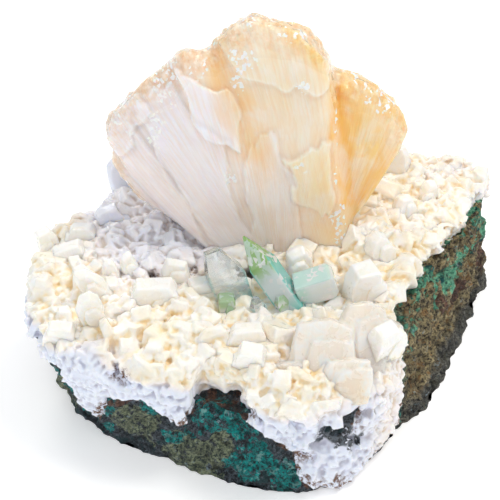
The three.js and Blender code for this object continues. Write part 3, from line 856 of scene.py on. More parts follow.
@dataclass
class MatrixRock:
    """The block of basalt under everything."""

    boulder: Boulder
    floor: float = 14.0  # height of its hidden top
    side_rows: int = 64

    def relief(self, points: Array) -> Array:
        """How far the broken rock stands out: broad lumps, blocks of two sizes and grit, less vesicles."""
        lumps = 1.5 * layered_noise(points, 8, 11, 3)
        blocks = 2.6 * cube_relief(points, 4.6, 21) + 1.6 * cube_relief(points, 2.2, 31)
        grit = 0.5 * layered_noise(points, 1.0, 41, 2)
        right = self.right_side(points)
        pits = cube_relief(points, 3.0, 51, 0.6) * (0.8 + 1.4 * right)
        return lumps + blocks + grit - 1.6 * pits - 1.5

    @staticmethod
    def right_side(points: Array) -> Array:
        """Share of the right side's own minerals, which start past the front right corner."""
        return eased(28, 36, points[..., 0] + 0.25 * points[..., 1])

    def build(self) -> None:
        """Makes the rock: rings up its side, displaced outwards, and closed under the crust."""
        b = self.boulder
        shares = np.linspace(0, 1, self.side_rows)
        sides = [b.side(share, 0.0) for share in shares]
        upper = b.top(0.86, b.shoulder[:, 2] - 0.6, 0.5)
        inner = b.top(0.6, 0.25 * b.shoulder[:, 2] + 0.75 * self.floor, 0.5)
        rows = np.array([*sides, 0.5 * (sides[-1] + upper), upper, inner])
        normal = grid_normals(rows, wrap=True)
        if np.mean(np.sum(normal[:5] * rows[:5] * [1, 1, 0], axis=-1)) < 0:
            normal = -normal
        right = self.right_side(rows)
        strength = 0.6 + 0.4 * eased(0, 1.2, rows[..., 2])[..., None]
        strength[-2:] = 0
        shaped = rows + normal * (self.relief(rows)[..., None] - 0.15) * strength
        shaped[..., 2] = np.maximum(shaped[..., 2], 0)
        shaped[0, :, 2] = 0
        vertices = np.vstack([[[0, 0, 0]], shaped.reshape(-1, 3), [[0, 0, self.floor]]])
        crust_line = CrustSkin.edge_height(b)[None, :] - rows[..., 2]
        near = np.clip(1 - np.abs(crust_line) / 2.6, 0, 1)
        grey = eased(7.5, 3.5, rows[..., 2]) * right
        under_crust = right * eased(13, 6, crust_line + 5 * layered_noise(rows, 9, 71, 2))
        blocks = np.maximum(cube_relief(rows, 4.6, 21), 0.6 * cube_relief(rows, 2.2, 31))
        ragged = strayed(rows, 6, 601, 3, 5.5)
        teal, olive, brown = (covered(ragged, lining.value) for lining in Lining)
        values = {
            "teal": np.maximum(teal, under_crust),
            "olive": olive,
            # Near black in the valleys between the raised blocks: cracks, with painted shade in them.
            "crack_and_shade": eased(0.16, 0.0, blocks),
            "brown": np.maximum(brown, 0.8 * near * (1 - 0.6 * right)),
            "right": right * (1 - 0.75 * grey),
        }
        rock = put_mesh("matrix_basalt_block", vertices, stack_faces(len(rows), b.columns))
        store(rock, **{key: np.concatenate([[0], v.ravel(), [0]]) for key, v in values.items()})
        dress(rock, BasaltFinish().material(), "basalt_matrix", "matrix_rock")


# ---------------------------------------------------------------- crust


def right_of_warm_edge(x: Array, y: Array) -> Array:
    """Share by which a place lies to the right of the warm left edge of the top."""
    return eased(-42, -30, x + 0.4 * y)


# Pockets in the crust's side and top, as [x, y, z, radius].
BLACK_POCKETS = ((20, -44.5, 17, 4.2), (16.5, -45, 14.5, 2.4), (3.6, -39, 23.5, 2.0), (24.5, -42, 13, 2.2))
BROWN_POCKETS = ((11, -46, 11, 3.6), (24, -42, 19.5, 3.4), (0, -41, 22, 2.4), (-30, -34, 26, 2.6),
                 (-15, -3, 30, 2.4), (-24, -3, 30, 2.2))

# Broad swells and hollows of the top, as [height, x, y, half width, half depth].
SWELLS = ((4.5, 30, 7, 6, 7), (-2.6, 8, -1, 16, 8))


@dataclass
class CrustSkin:
    """The grown-together body of the crust, which the small crystals stand on."""

    boulder: Boulder
    top_height: float = 30.5
    dome: float = 0.5
    side_out: float = 1.8
    points: Array = field(init=False)
    normals: Array = field(init=False)
    level: Array = field(init=False)  # 0 at the lower edge, 1 at the brow, above 1 on the top

    @staticmethod
    def edge_height(boulder: Boulder) -> Array:
        """The height of the crust's ragged lower edge at each column."""
        places, heights = np.array(CRUST_EDGE).T
        smooth = np.interp(boulder.places, places, heights)
        ragged = np.stack([boulder.foot[:, 0], boulder.foot[:, 1], np.zeros(boulder.columns)], axis=-1)
        return np.maximum(smooth + 1.5 * layered_noise(ragged, 4.5, 61, 3), 0.9)

    def lay_out(self) -> None:
        """Works out the skin: rings from the lower edge over the brow to the middle of the top."""
        b = self.boulder
        edge = self.edge_height(b)
        shoulder = b.shoulder[:, 2]
        bare = self.bareness()
        out = self.side_out * (1 - bare) - 4.6 * bare
        lip = np.minimum(edge + 1.2, shoulder)
        inside = b.at_height(edge, -3.0 - 6.0 * bare)
        flank = edge + (shoulder - edge) * 0.45
        brow = b.at_height(shoulder, out)
        brow[:, 2] = shoulder + 1.6
        rings = [
            inside, b.at_height(edge, -0.9 - 6.4 * bare), b.at_height(lip, 0.45 * out - 4.4 * bare),
            b.at_height(flank, out), brow,
            b.top(0.97 - 0.07 * bare[:, None], 0.35 * shoulder + 0.65 * self.top_height, 0.7),
            b.top(0.84, 0.1 * shoulder + 0.9 * self.top_height, 1.1),
            b.top(0.6, np.full(b.columns, self.top_height), 1.2),
            b.top(0.32, np.full(b.columns, self.top_height + self.dome), 1.2),
            b.top(0.06, np.full(b.columns, self.top_height + self.dome), 0.4),
        ]
        counts = (2, 4, 22, 22, 6, 18, 22, 20, 10)  # rows from each ring to the next
        ring = np.concatenate([k + np.arange(n) / n for k, n in enumerate(counts)] + [[len(counts)]])
        rows = smooth_run(np.array(rings), ring)
        self.level = np.broadcast_to(((ring - 1) / 3)[:, None], rows.shape[:2]).copy()
        normal = grid_normals(rows, wrap=True)
        if normal[-30:, :, 2].mean() < 0:
            normal = -normal
        shaped = rows + normal * self.relief(rows)[..., None]
        share = np.minimum(1, (self.reach(shaped) - 0.8) / np.linalg.norm(shaped[..., :2], axis=-1))
        shaped[..., :2] *= share[..., None]
        self.points = shaped
        self.normals = normal

    def relief(self, rows: Array) -> Array:
        """How far the skin stands out: lumps and blocks on top, folds on the side, less the pockets."""
        topness = eased(0.85, 1.15, self.level)
        below_edge = eased(0.0, 0.2, self.level)
        lumps = 1.7 * layered_noise(rows, 13, 71, 3) * topness
        for height, x, y, across, deep in SWELLS:
            away = ((rows[..., 0] - x) / across) ** 2 + ((rows[..., 1] - y) / deep) ** 2
            lumps += height * np.exp(-away) * topness
        blocks = cube_relief(rows, 5.0, 81) * (1.0 + 1.6 * topness) + cube_relief(rows, 2.1, 91) * 0.7
        folds = 1.6 * layered_noise(rows * [1, 1, 0.4], 7.5, 101, 4) * (1 - topness)
        pocket = np.maximum(*self.pockets(rows))
        return (lumps + blocks + folds - 0.9) * below_edge * (1 - 0.6 * pocket) - 2.6 * pocket * below_edge

    def around(self, values: Array, points: Array) -> Array:
        """Values of the outline's columns, read in the direction of each place."""
        column = np.arctan2(self.boulder.foot[:, 1], self.boulder.foot[:, 0])
        order = np.argsort(column)
        angle = np.arctan2(points[..., 1], points[..., 0])
        return np.interp(angle, column[order], values[order], period=2 * math.pi)

    def reach(self, points: Array) -> Array:
        """How far from the middle the crust may lie in each place's direction.

        It is a little past the rock's foot or shoulder, whichever is further out, but no
        further than the shoulder where the rock's side is bare.
        """
        b = self.boulder
        shoulder = np.linalg.norm(b.shoulder[:, :2], axis=1)
        foot = np.linalg.norm(b.foot[:, :2], axis=1)
        bare = self.bareness()
        inlets = 3.0 * soft_noise(b.shoulder, 7.0, 404) - 2.4
        inlets -= 3.0 * np.exp(-(((b.shoulder[:, 1] - 25) / 7) ** 2)) * (b.shoulder[:, 0] > 40)
        limit = (np.maximum(shoulder, foot) + 2.4) * (1 - bare) + (shoulder + inlets) * bare
        return self.around(limit, points)

    def bareness(self) -> Array:
        """Share by which the rock's side is bare at each column."""
        return eased(4.0, 2.0, self.boulder.shoulder[:, 2] - self.edge_height(self.boulder))

    @staticmethod
    def pockets(points: Array) -> tuple[Array, Array]:
        """How far inside the black and the brown pockets places are."""
        ragged = strayed(points, 2.6, 431, 2, 1.2)
        black, brown = (covered(ragged, patches, 1.6, 1.3, (0.8, 0.6, 1.1))
                        for patches in (BLACK_POCKETS, BROWN_POCKETS))
        return black, brown

    def values(self, points: Array, level: Array) -> dict[str, Array]:
        """Painted bluish shade, black pockets and dirt on any places of the crust.

        Args:
            points: places on the crust.
            level: 0 at the lower edge, 1 at the brow, above 1 on the top.

        Returns:
            The attributes cool, black and stain.
        """
        x, y = points[..., 0], points[..., 1]
        wander = 6 * layered_noise(points, 12, 111, 2)
        # Painted bluish shade: behind and left of the fan, where its shadow falls, and on the crust's side,
        # which faces away from the warm lamps.
        behind = eased(-8, 4, y - 0.15 * x + wander) * eased(0, -12, x) * right_of_warm_edge(x, y)
        bare = self.around(self.bareness(), points)
        higher = 0.22 * eased(12, -20, x) * eased(-6, -20, y)
        side = eased(1.22, 0.9, level - higher + 0.12 * layered_noise(points, 6, 113, 2)) * (1 - 0.6 * bare)
        side = side * (1 - 0.6 * eased(24, 34, x + 0.3 * (y + 35)))
        cool = np.clip(0.7 * behind + side, 0, 1)
        edge_dirt = eased(0.3, 0.06, level + 0.2 * layered_noise(points, 5, 131, 3)) * (1 - bare)
        spots = eased(0.25, 0.6, layered_noise(points, 8, 121, 3))
        dirty_front = spots * side * eased(-50, 20, x) * 0.5 * (1 - bare)
        black, brown = self.pockets(points)
        stain = np.clip(np.maximum(edge_dirt + dirty_front, brown), 0, 1)
        return {"cool": cool, "black": black, "stain": stain}

    def values_near(self, points: Array) -> dict[str, Array]:
        """The same for any places near the crust, whose level follows from height and edge."""
        low = self.around(self.edge_height(self.boulder), points)
        high = self.around(self.boulder.shoulder[:, 2], points) + 1.6
        return self.values(points, (points[:, 2] - low) / np.maximum(high - low, 1.0))


class GrainShape(Enum):
    """Small crystals of a few dozen faces: outline [x, y], and rings [height, width, thickness]."""

    BLOCK = (((-1, -0.7), (-0.75, -1), (0.95, -0.95), (1, 0.8), (0.8, 1), (-0.95, 0.9)),
             ((-0.9, 0.8, 0.8), (0.82, 1.0, 1.0), (1.0, 0.8, 0.78)))
    WEDGE = (((-1, -0.6), (-0.5, -1), (0.6, -1), (1, -0.4), (0.9, 0.9), (-0.8, 1)),
             ((-0.9, 0.75, 0.8), (0.45, 1.0, 1.0), (1.0, 0.66, 0.2)))
    SLAB = (((-1, -0.3), (-0.8, -0.45), (0.9, -0.45), (1, 0.3), (0.7, 0.45), (-0.9, 0.4)),
            ((-0.9, 0.9, 0.9), (0.6, 1.0, 1.0), (1.05, 0.5, 0.8)))

    def template(self) -> tuple[Array, list[Array]]:
        """Vertices and faces of one grain of half width 1, its root below 0 and its tip at about 1."""
        outline = np.array(self.value[0], float)
        rings = [np.column_stack([outline * [wide, thick], np.full(len(outline), z)])
                 for z, wide, thick in self.value[1]]
        count = len(outline)
        quads = grid_faces(len(rings), count, closed_columns=True)
        bottom = np.arange(count)[None, ::-1]
        top = np.arange(count)[None, :] + (len(rings) - 1) * count
        return np.vstack(rings), [quads, bottom, top]


@dataclass
class Grains:
    """One size of small crystals over the crust."""

    count: int
    size: tuple[float, float]  # smallest and largest half width
    tallness: tuple[float, float]  # length in half widths
    seed: int
    top_share: float  # density on the top
    side_share: float  # density on the side
    wildness: float = 0.4  # how far axes stray from the surface's own direction
    kinds: tuple[float, float, float] = (0.6, 0.25, 0.15)  # shares of blocks, wedges and slabs
    gather: float = 0.0  # above 0 the grains crowd into patches, below 0 between them

    def scatter(self, skin: CrustSkin) -> tuple[Array, Array, Array]:
        """Random places on the skin: density is the area of each grid cell times the zone's share.

        Args:
            skin: the crust's skin.

        Returns:
            Places, surface directions and columns.
        """
        rng = np.random.default_rng(self.seed)
        p, normal, level = skin.points, skin.normals, skin.level
        across = np.roll(p, -1, axis=1) - p
        area = np.linalg.norm(np.cross(across[:-1], p[1:] - p[:-1]), axis=-1)
        on_top = eased(0.8, 1.1, level[:-1])
        weight = area * (self.top_share * on_top + self.side_share * (1 - on_top))
        weight = weight * (level[:-1] > 0.05) * (1 - np.maximum(*skin.pockets(p[:-1])))
        weight = weight * np.exp(2.4 * self.gather * layered_noise(p[:-1], 11, 417, 2))
        chosen = rng.choice(weight.size, size=self.count, p=(weight / weight.sum()).ravel())
        i, j = np.unravel_index(chosen, weight.shape)
        u, v = rng.random((2, self.count, 1))
        after = (j + 1) % p.shape[1]
        lower = (1 - v) * p[i, j] + v * p[i, after]
        upper = (1 - v) * p[i + 1, j] + v * p[i + 1, after]
        return (1 - u) * lower + u * upper, normal[i, j], j

    def bodies(self, skin: CrustSkin, clear: "ClearSpace") -> tuple[Array, Array, list[Array]]:
        """Works out the grains.

        Each grain is the template, turned so that its axis is the surface direction plus a
        random vector, scaled at random, with every vertex moved a little at random.

        Args:
            skin: the crust's skin.
            clear: the room that larger crystals keep to themselves.

        Returns:
            Columns of the skin, vertices as grains by corners by three, and one grain's faces.
        """
        rng = np.random.default_rng(self.seed + 1)
        place, up, column = self.scatter(skin)
        free = clear.free(place, 0.8 * self.size[0])
        place, up, column = place[free], up[free], column[free]
        count = len(place)
        axis = up + [0, 0, 0.35] + self.wildness * rng.normal(size=(count, 3))
        axis /= np.linalg.norm(axis, axis=1, keepdims=True)
        side = np.cross(axis, rng.normal(size=(count, 3)))
        side /= np.linalg.norm(side, axis=1, keepdims=True)
        turn = np.stack([side, np.cross(axis, side), axis], axis=-1)
        low, high = self.size
        coarse = eased(-0.7, 0.5, layered_noise(place, 14, 401, 2))
        half = (low + (high - low) * rng.random(count) ** 1.8) * (0.62 + 0.48 * coarse)
        stretch = np.stack([half * rng.uniform(0.85, 1.4, count), half * rng.uniform(0.7, 1.0, count),
                            half * rng.uniform(*self.tallness, count)], axis=-1)
        shapes, faces = zip(*(kind.template() for kind in GrainShape))
        shapes = np.array(shapes)
        kinds = rng.choice(len(shapes), size=count, p=self.kinds)
        local = shapes[kinds] + rng.normal(scale=0.09, size=(count, shapes.shape[1], 3))
        local[..., :2] += local[..., 2:] * rng.normal(scale=0.12, size=(count, 1, 2))
        world = place[:, None] + np.einsum("nij,nkj->nki", turn, local * stretch[:, None])
        fits = np.linalg.norm(world[..., :2], axis=-1) < skin.reach(world)
        fits = (fits & (world[..., 2] > 0.5)).all(axis=1)
        return column[fits], world[fits], faces[0]


@dataclass
class Druse:
    """The whole crust: its skin and its small crystals, grown together sector by sector."""

    skin: CrustSkin
    sectors: int = 10
    depth: float = 3.0  # how thick the skin's slab is
    voxel: float = 0.325
    layers: tuple[Grains, ...] = (
        Grains(520, (2.1, 3.6), (0.7, 1.3), 201, 1.0, 0.02, 0.4, (0.5, 0.35, 0.15), 0.7),
        Grains(1700, (1.1, 2.1), (0.7, 1.3), 203, 1.0, 0.05, 0.45, (0.5, 0.35, 0.15)),
        Grains(7000, (0.45, 1.0), (0.8, 1.6), 205, 1.0, 0.12, 0.6, gather=-0.8),
        Grains(500, (1.0, 1.9), (0.4, 0.8), 207, 0.0, 1.0, 0.5, (0.6, 0.3, 0.1)),
        Grains(2600, (0.45, 1.0), (0.5, 1.0), 209, 0.0, 1.0, 0.7, gather=0.6),
    )

    def slab(self, first: int, last: int) -> tuple[Array, list[Array]]:
        """The skin between two columns, as a slab that reaches depth inwards."""
        columns = np.arange(first, last + 1) % self.skin.points.shape[1]
        outer = self.skin.points[:, columns]
        inner = outer - self.skin.normals[:, columns] * self.depth
        inner[..., 2] = np.maximum(inner[..., 2], 0.4)
        rows, count = outer.shape[:2]
        return np.vstack([outer.reshape(-1, 3), inner.reshape(-1, 3)]), slab_faces(rows, count)

    def build(self, clear: "ClearSpace") -> None:
        """Makes each sector: its slab and its grains melted together, with crevices marked for the painted
        crevice shade.

        A vertex's depth is how far it stands out from the evened surface round it, so that
        tips are near 1 and crevices near 0.

        Args:
            clear: the room that larger crystals keep to themselves.
        """
        finish = DruseFinish().material()
        laid = [layer.bodies(self.skin, clear) for layer in self.layers]
        columns = self.skin.points.shape[1]
        bounds = np.linspace(0, columns, self.sectors + 1).astype(int)
        for number, (first, last) in enumerate(zip(bounds[:-1], bounds[1:])):
            bodies = [self.slab(first, last)]
            for column, world, faces in laid:
                own = world[(column >= first) & (column < last)]
                offset = (np.arange(len(own)) * own.shape[1])[:, None, None]
                bodies.append((own.reshape(-1, 3),
                               [(block[None] + offset).reshape(-1, block.shape[1]) for block in faces]))
            piece = melt(f"zeolite_druse_{number + 1}", bodies, self.voxel)
            places, normals = read_vertices(piece)
            soft = evened(piece, places, 18)
            standing = np.sum((places - soft) * normals, axis=1)
            values = self.skin.values_near(places)
            store(piece, depth=eased(-0.45, 0.5, standing), **values)
            dress(piece, finish, "zeolite_druse", "zeolite_crust")


# ---------------------------------------------------------------- fan


def grain_places(across: Array, along: Array, through: Array, seed: Array | int) -> Array:
    """Places in a lobe's own millimetres, with each lobe's noise far from the others'."""
    return np.stack([across, along, through * 12 + seed * 37.0], axis=-1)


@dataclass(frozen=True)
class Lobe:
    """One lobe of the sheaf: straight rays from a level root patch to a domed crown.

    The point at share s across, share t through and share r along a ray is the root point
    plus r times the ray's length times its direction, which turns from left to right with s
    and tilts from lean_front to lean_back with t.
    """

    name: str
    x: tuple[float, float]
    z: float
    y: tuple[float, float]
    turn: tuple[float, float]
    lean: tuple[float, float]
    radii: tuple[float, ...]
    face: Colour
    rim: Colour
    # groove: painted glow, the warm colour of light passing through the stilbite at the groove.
    groove: Colour
    groove_side: float = -1.0  # share across where the painted groove glow is strongest
    plates: int = 16
    seed: int = 0

    def point(self, s: Array, t: Array, r: Array) -> Array:
        """The point at shares across, through and along."""
        turn, tilt = np.radians(between(self.turn, s)), np.radians(between(self.lean, t))
        far = self.length(s, t) * r
        return np.stack([between(self.x, s) + far * np.sin(turn) * np.cos(tilt),
                         between(self.y, t) + far * np.sin(tilt),
                         self.z + far * np.cos(turn) * np.cos(tilt)], axis=-1)

    def length(self, s: Array, t: Array) -> Array:
        """A ray's length: the curve through the radii, less a loss towards the sides and the back."""
        return along_list(self.radii, s) * (1 - (0.05 * np.abs(2 * s - 1) ** 6 + 0.16 * t * t))

    def width(self) -> float:
        """How wide the front is, eight tenths of the way along the rays."""
        right, left = self.point(np.array([1.0, 0.0]), np.zeros(2), np.full(2, 0.8))
        return float(np.linalg.norm(right - left))

    def shares_at(self, p: Array) -> tuple[Array, Array, Array, Array]:
        """The shares of any place, found by halving, and its distance outside the lobe.

        At the place's rise over the root, x grows with s and y with t, so each share is
        closed in on from both sides. The distance is the largest of the distances past a
        side, past a face and past the crown, and is negative inside.

        Args:
            p: places.

        Returns:
            s, t, r and the distance in millimetres.
        """
        rise = np.maximum(p[:, 2] - self.z, 0.5)

        def halved(ends: tuple, angles: tuple, climb: Array, target: Array) -> tuple[Array, Array]:
            """The share and the ray's angle at which the ray passes the target."""
            low, high = np.full(len(p), -0.6), np.full(len(p), 1.6)
            for _ in range(18):
                share = (low + high) / 2
                angle = np.radians(between(angles, share))
                over = between(ends, share) + climb * np.tan(angle) > target
                low, high = np.where(over, low, share), np.where(over, share, high)
            return share, angle

        s, turn = halved(self.x, self.turn, rise, p[:, 0])
        cosine = np.cos(turn)
        t, tilt = halved(self.y, self.lean, rise / cosine, p[:, 1])
        length = self.length(np.clip(s, 0, 1), np.clip(t, 0, 1))
        r = rise / (cosine * np.cos(tilt)) / length
        width = abs(self.x[1] - self.x[0]) + rise * np.radians(self.turn[1] - self.turn[0])
        beside = (np.abs(2 * s - 1) - 1) * width / 2
        past = (np.abs(2 * t - 1) - 1) * (self.y[1] - self.y[0] + 0.14 * rise) / 2
        return s, t, r, np.maximum(np.maximum(beside, past), (r - 1) * length)


@dataclass(frozen=True)
class Sheet:
    """A cleaved sheet on the sheaf's front: an outline in x and z, its thickness and its tint."""

    outline: tuple[tuple[float, float], ...]
    thickness: float
    tint: Colour
    strength: float  # how far the tint replaces the one below
    soft: float = 0.2  # half width of its edge

    def inside(self, x: Array, z: Array) -> Array:
        """Distance inside the outline, negative outside.

        It is the distance to the nearest side of the polygon, with the sign from how often
        the line to the left crosses the outline.

        Args:
            x: sideways places.
            z: heights.

        Returns:
            Millimetres.
        """
        corners = np.array(self.outline, float)
        near = np.full(x.shape, np.inf)
        crossed = np.zeros(x.shape, bool)
        for (ax, az), (bx, bz) in zip(corners, np.roll(corners, -1, axis=0)):
            share = np.clip(((x - ax) * (bx - ax) + (z - az) * (bz - az))
                            / ((bx - ax) ** 2 + (bz - az) ** 2), 0, 1)
            near = np.minimum(near, np.hypot(x - ax - share * (bx - ax), z - az - share * (bz - az)))
            height = bz - az if abs(bz - az) > 1e-9 else 1e-9
            crossed ^= ((az > z) != (bz > z)) & (x < (bx - ax) * (z - az) / height + ax)
        return np.where(crossed, near, -near)


SHEETS = (
    Sheet(((-17, 76), (-5.6, 71), (-2.8, 67), (-2.4, 59.4), (-1, 55), (-5.7, 59), (-9.7, 61), (-13.4, 64),
           (-15.6, 71)), 0.8, tint(246, 243, 250), 0.9),
    Sheet(((4.7, 61.5), (7, 55.5), (10.4, 49), (11.4, 45), (14, 26), (2, 26), (-1, 55), (1.9, 58)), 0.5,
          tint(238, 230, 224), 0.8),
    Sheet(((-6, 77), (-3, 73.5), (3, 72.8), (8, 71), (12, 73), (15.5, 70.7), (19, 71), (19, 84), (8, 90),
           (-4, 90), (-10, 84)), 0.7, tint(253, 240, 224), 0.35),
    Sheet(((10.4, 49), (11.4, 45), (17, 40.5), (21.1, 36), (20.5, 48), (18.9, 59), (12, 56), (7, 55.5)), 0.7,
          tint(253, 232, 196), 0.75),
    Sheet(((-28, 68), (-18, 74), (-13.5, 64), (-6, 59), (2, 26), (-5, 26), (-17, 46)), 0.4,
          tint(243, 239, 246), 0.7),
    Sheet(((-36, 58), (-29, 67), (-17, 45), (-7, 27), (-12, 27), (-26, 46)), 0.5, tint(240, 233, 236), 0.5),
    Sheet(((-34, 62), (-27, 70), (-24, 66), (-29, 57), (-33, 54)), 0.6, tint(244, 240, 246), 0.6),
    # The sheets of no thickness only tint the front; the orange and gold ones along the grooves and on the
    # right lobe are painted glow of light passing through the stilbite.
    Sheet(((4, 96), (6, 90), (10.5, 83), (15, 77), (19, 71), (24, 71), (24, 96)), 0.0,
          tint(255, 216, 146), 0.85, 1.6),
    Sheet(((22, 52), (36, 56), (38, 46), (28, 33), (22, 36)), 0.0, tint(255, 198, 108), 0.55, 5.0),
    Sheet(((-12, 82), (-6, 83), (3, 63), (4, 54), (-1, 57), (-7, 68)), 0.0, tint(255, 204, 134), 0.75, 2.4),
    Sheet(((0, 62), (5, 62), (6, 50), (3, 48), (-1, 56)), 0.0, tint(255, 220, 178), 0.6, 3.0),
    Sheet(((13, 40), (19, 60), (22, 50), (24, 36), (20, 28)), 0.0, tint(255, 218, 160), 0.5, 3.0),
    Sheet(((-16, 44), (18, 44), (16, 18), (-4, 18)), 0.0, tint(242, 226, 212), 0.45, 8.0),
    Sheet(((18, 80), (22, 80), (23.5, 62), (27, 42), (22.5, 42), (20.5, 52), (19, 63)), 0.0,
          tint(255, 190, 84), 0.8, 1.0),
)


RAY_POLE = (9.7, 7.6)  # x and z of the point that the whole fan's rays spread from
GROOVED_BELOW = ("crown_right", "front", "right", "back_right")  # their painted groove glow reaches their foot

# Where the front glitters most, with painted white glints and tilted facets, as [x, z, half width, half
# height].
GLINTS = (
    (-4.5, 84, 6.5, 7), (-1.5, 77, 3.2, 6), (-19.6, 71, 3, 8), (-22.5, 64, 2.6, 6), (-11, 74, 3.5, 4),
    (33, 67, 5.5, 3.6), (27, 72, 6, 3), (12.4, 73, 2, 2), (11.8, 53, 2, 2), (21.5, 38, 2, 7),
    (-5, 50.2, 1.6, 1.6), (12, 86, 6, 3), (-30, 64, 3, 5), (20.6, 52, 0.5, 12),
)


@dataclass
class StilbiteFan:
    """The big sheaf, eight lobes joined into one body."""

    lobes: tuple[Lobe, ...]
    spacing: float = 0.5  # millimetres between vertices of a lobe
    voxel: float = 0.4
    squareness: float = 3.6  # how square the section's corners are

    def shares(self, lobe: Lobe) -> tuple[Array, Array, Array, Array]:
        """Even samples across and round the section.

        The section is a superellipse: t is half of 1 less the cosine to the power 2 over
        squareness, and r the sine to the same power. Both directions are resampled by length.

        Args:
            lobe: the lobe.

        Returns:
            s, half width w, t and r.
        """
        power = 2 / self.squareness

        def section(angle: Array) -> tuple[Array, Array]:
            """t and r at angles round the superellipse."""
            cosine = np.cos(angle)
            t = 0.5 - 0.5 * np.sign(cosine) * np.abs(cosine) ** power
            return t, np.abs(np.sin(angle)) ** power

        def half_width(share: Array) -> Array:
            """How thick the lobe is at shares across: full almost to its sides."""
            return (1 - np.abs(2 * share - 1) ** 9) ** (1 / 9)

        angle = np.linspace(0, math.pi, 4001)
        t, r = section(angle)
        middle = lobe.point(np.full_like(t, 0.5), t, r)
        run = np.concatenate([[0], np.cumsum(np.linalg.norm(np.diff(middle, axis=0), axis=1))])
        around = int(run[-1] / self.spacing / 2) * 2
        t, r = section(np.interp(np.linspace(0, run[-1], around), run, angle))
        fine = np.linspace(0, 1, 2001)
        edge = lobe.point(fine, np.zeros_like(fine), np.full_like(fine, 0.75))
        thick = 0.5 * (lobe.y[1] - lobe.y[0]) * half_width(fine)
        steps = np.hypot(np.linalg.norm(np.diff(edge, axis=0), axis=1), np.diff(thick))
        run = np.concatenate([[0], np.cumsum(steps)])
        s = np.interp(np.linspace(0, run[-1], int(run[-1] / self.spacing)), run, fine)
        return s, np.maximum(half_width(s), 0.1), t, r

    @staticmethod
    def cleavage(lobe: Lobe, s: Array, r: Array) -> Array:
        """Relief of thin plates on the broad faces.

        Each plate adds its thickness between two rays, up to a broken end whose height steps
        from bundle to bundle of needles.

        Args:
            lobe: the lobe.
            s: shares across.
            r: shares along.

        Returns:
            Millimetres outwards.
        """
        rng = np.random.default_rng(lobe.seed + 500)
        total = np.zeros_like(s)
        for _ in range(lobe.plates):
            middle, half = rng.uniform(0.0, 1.0), rng.uniform(0.05, 0.25)
            end, thickness = rng.uniform(0.35, 0.98), rng.uniform(0.1, 0.32)
            bundle = np.floor(s * rng.uniform(12, 30))
            steps = cell_random(np.stack([bundle, 0 * s, 0 * s], axis=-1), lobe.seed) - 0.5
            wander = 0.05 * steps + 0.05 * line_noise(s * 9, lobe.seed + 7)
            waver = 0.01 * line_noise(r * 8, lobe.seed + 9)
            inside = eased(half, half - 0.02, np.abs(s - middle + waver))
            total += thickness * inside * eased(end + wander + 0.008, end + wander, r)
        return total

    def lobe_body(self, lobe: Lobe) -> tuple[Array, list[Array]]:
        """One lobe as a closed body: its smooth shape with flutes, plates and a knobbly crown."""
        s, w, t, r = self.shares(lobe)
        grid_s = np.broadcast_to(s[:, None], (len(s), len(t)))
        grid_t = 0.5 + (t[None, :] - 0.5) * w[:, None]
        grid_r = np.broadcast_to(r[None, :], grid_s.shape)
        bare = lobe.point(grid_s, grid_t, grid_r)
        normal = grid_normals(bare)
        if normal[len(s) // 2, len(t) // 4, 1] > 0:
            normal = -normal
        length = along_list(lobe.radii, grid_s)
        grain = grain_places(grid_s * lobe.width(), grid_r * length, grid_t, lobe.seed)
        crown = eased(9.0, 2.5, length - grain[..., 1] + 2.5 * layered_noise(bare, 6, lobe.seed + 13, 2))
        flutes = 0.2 * soft_noise(grain * [1, 0.06, 0.3], 8.0, lobe.seed + 11)
        lines = 0.05 * soft_noise(grain * [1, 0.03, 0.3], 1.6, lobe.seed + 12)
        knobs = cube_relief(bare, 3.2, lobe.seed + 14) * 1.3 + cube_relief(bare, 1.7, lobe.seed + 15) * 0.9
        knobs = knobs + 0.3 * layered_noise(bare, 1.3, lobe.seed + 16, 2)
        faces = eased(0.42, 0.3, grid_t) + eased(0.6, 0.72, grid_t)
        plates = self.cleavage(lobe, grid_s, grid_r) * faces
        lift = flutes + lines * (1 - crown) + knobs * crown + plates - 0.55
        vertices = bare + normal * (lift * eased(0.0, 0.12, grid_r))[..., None]
        rows, columns = grid_s.shape
        i = np.arange(rows - 1) * columns
        root = np.stack([i, i + columns, i + 2 * columns - 1, i + columns - 1], axis=-1)
        k = np.arange(columns // 2 - 1)
        left = np.stack([k, columns - 1 - k, columns - 2 - k, k + 1], axis=-1)
        right = (rows - 1) * columns + left[:, ::-1]
        return vertices.reshape(-1, 3), [grid_faces(rows, columns), root, left, right]

    def each(self, key: str, own: Array) -> Array:
        """A value of each vertex's own lobe, given the lobes' numbers."""
        return np.array([getattr(lobe, key) for lobe in self.lobes])[own]

    def lobe_tints(self, gaps: Array, own: Array, s: Array, r: Array, rim: Array, places: Array) -> Array:
        """The lobes' colours, which run into each other within a millimetre or two.

        Each vertex takes the mean of the lobes' colours, weighted by e to the power (less the
        distance outside a lobe over 1.6). The rim colour comes in clouds towards the crown,
        and the groove colour, a painted glow of light passing through the stilbite, at one
        side of each lobe.

        Args:
            gaps: distance outside each lobe, lobes by vertices.
            own: number of each vertex's lobe.
            s: shares across it.
            r: shares along it.
            rim: share of the crown's look.
            places: the vertices.

        Returns:
            One colour for each vertex.
        """
        share = np.exp(-(gaps - gaps.min(axis=0)) / 1.6)
        share /= share.sum(axis=0)
        face, edge, groove = (share.T @ np.array([getattr(lobe, key) for lobe in self.lobes])
                              for key in ("face", "rim", "groove"))
        mottled = (0.5 + 0.5 * layered_noise(places, 9, 16, 3))[:, None]
        tinted = face + (edge - face) * rim[:, None] * (0.35 + 0.6 * mottled)
        below = np.array([lobe.name in GROOVED_BELOW for lobe in self.lobes])[own]
        high = np.where(below, 1.0, eased(52, 66, places[:, 2]))
        near = eased(0.42, 0.0, np.abs(s - self.each("groove_side", own))) * eased(1.0, 0.8, r) * high
        return tinted + (groove - tinted) * near[:, None]

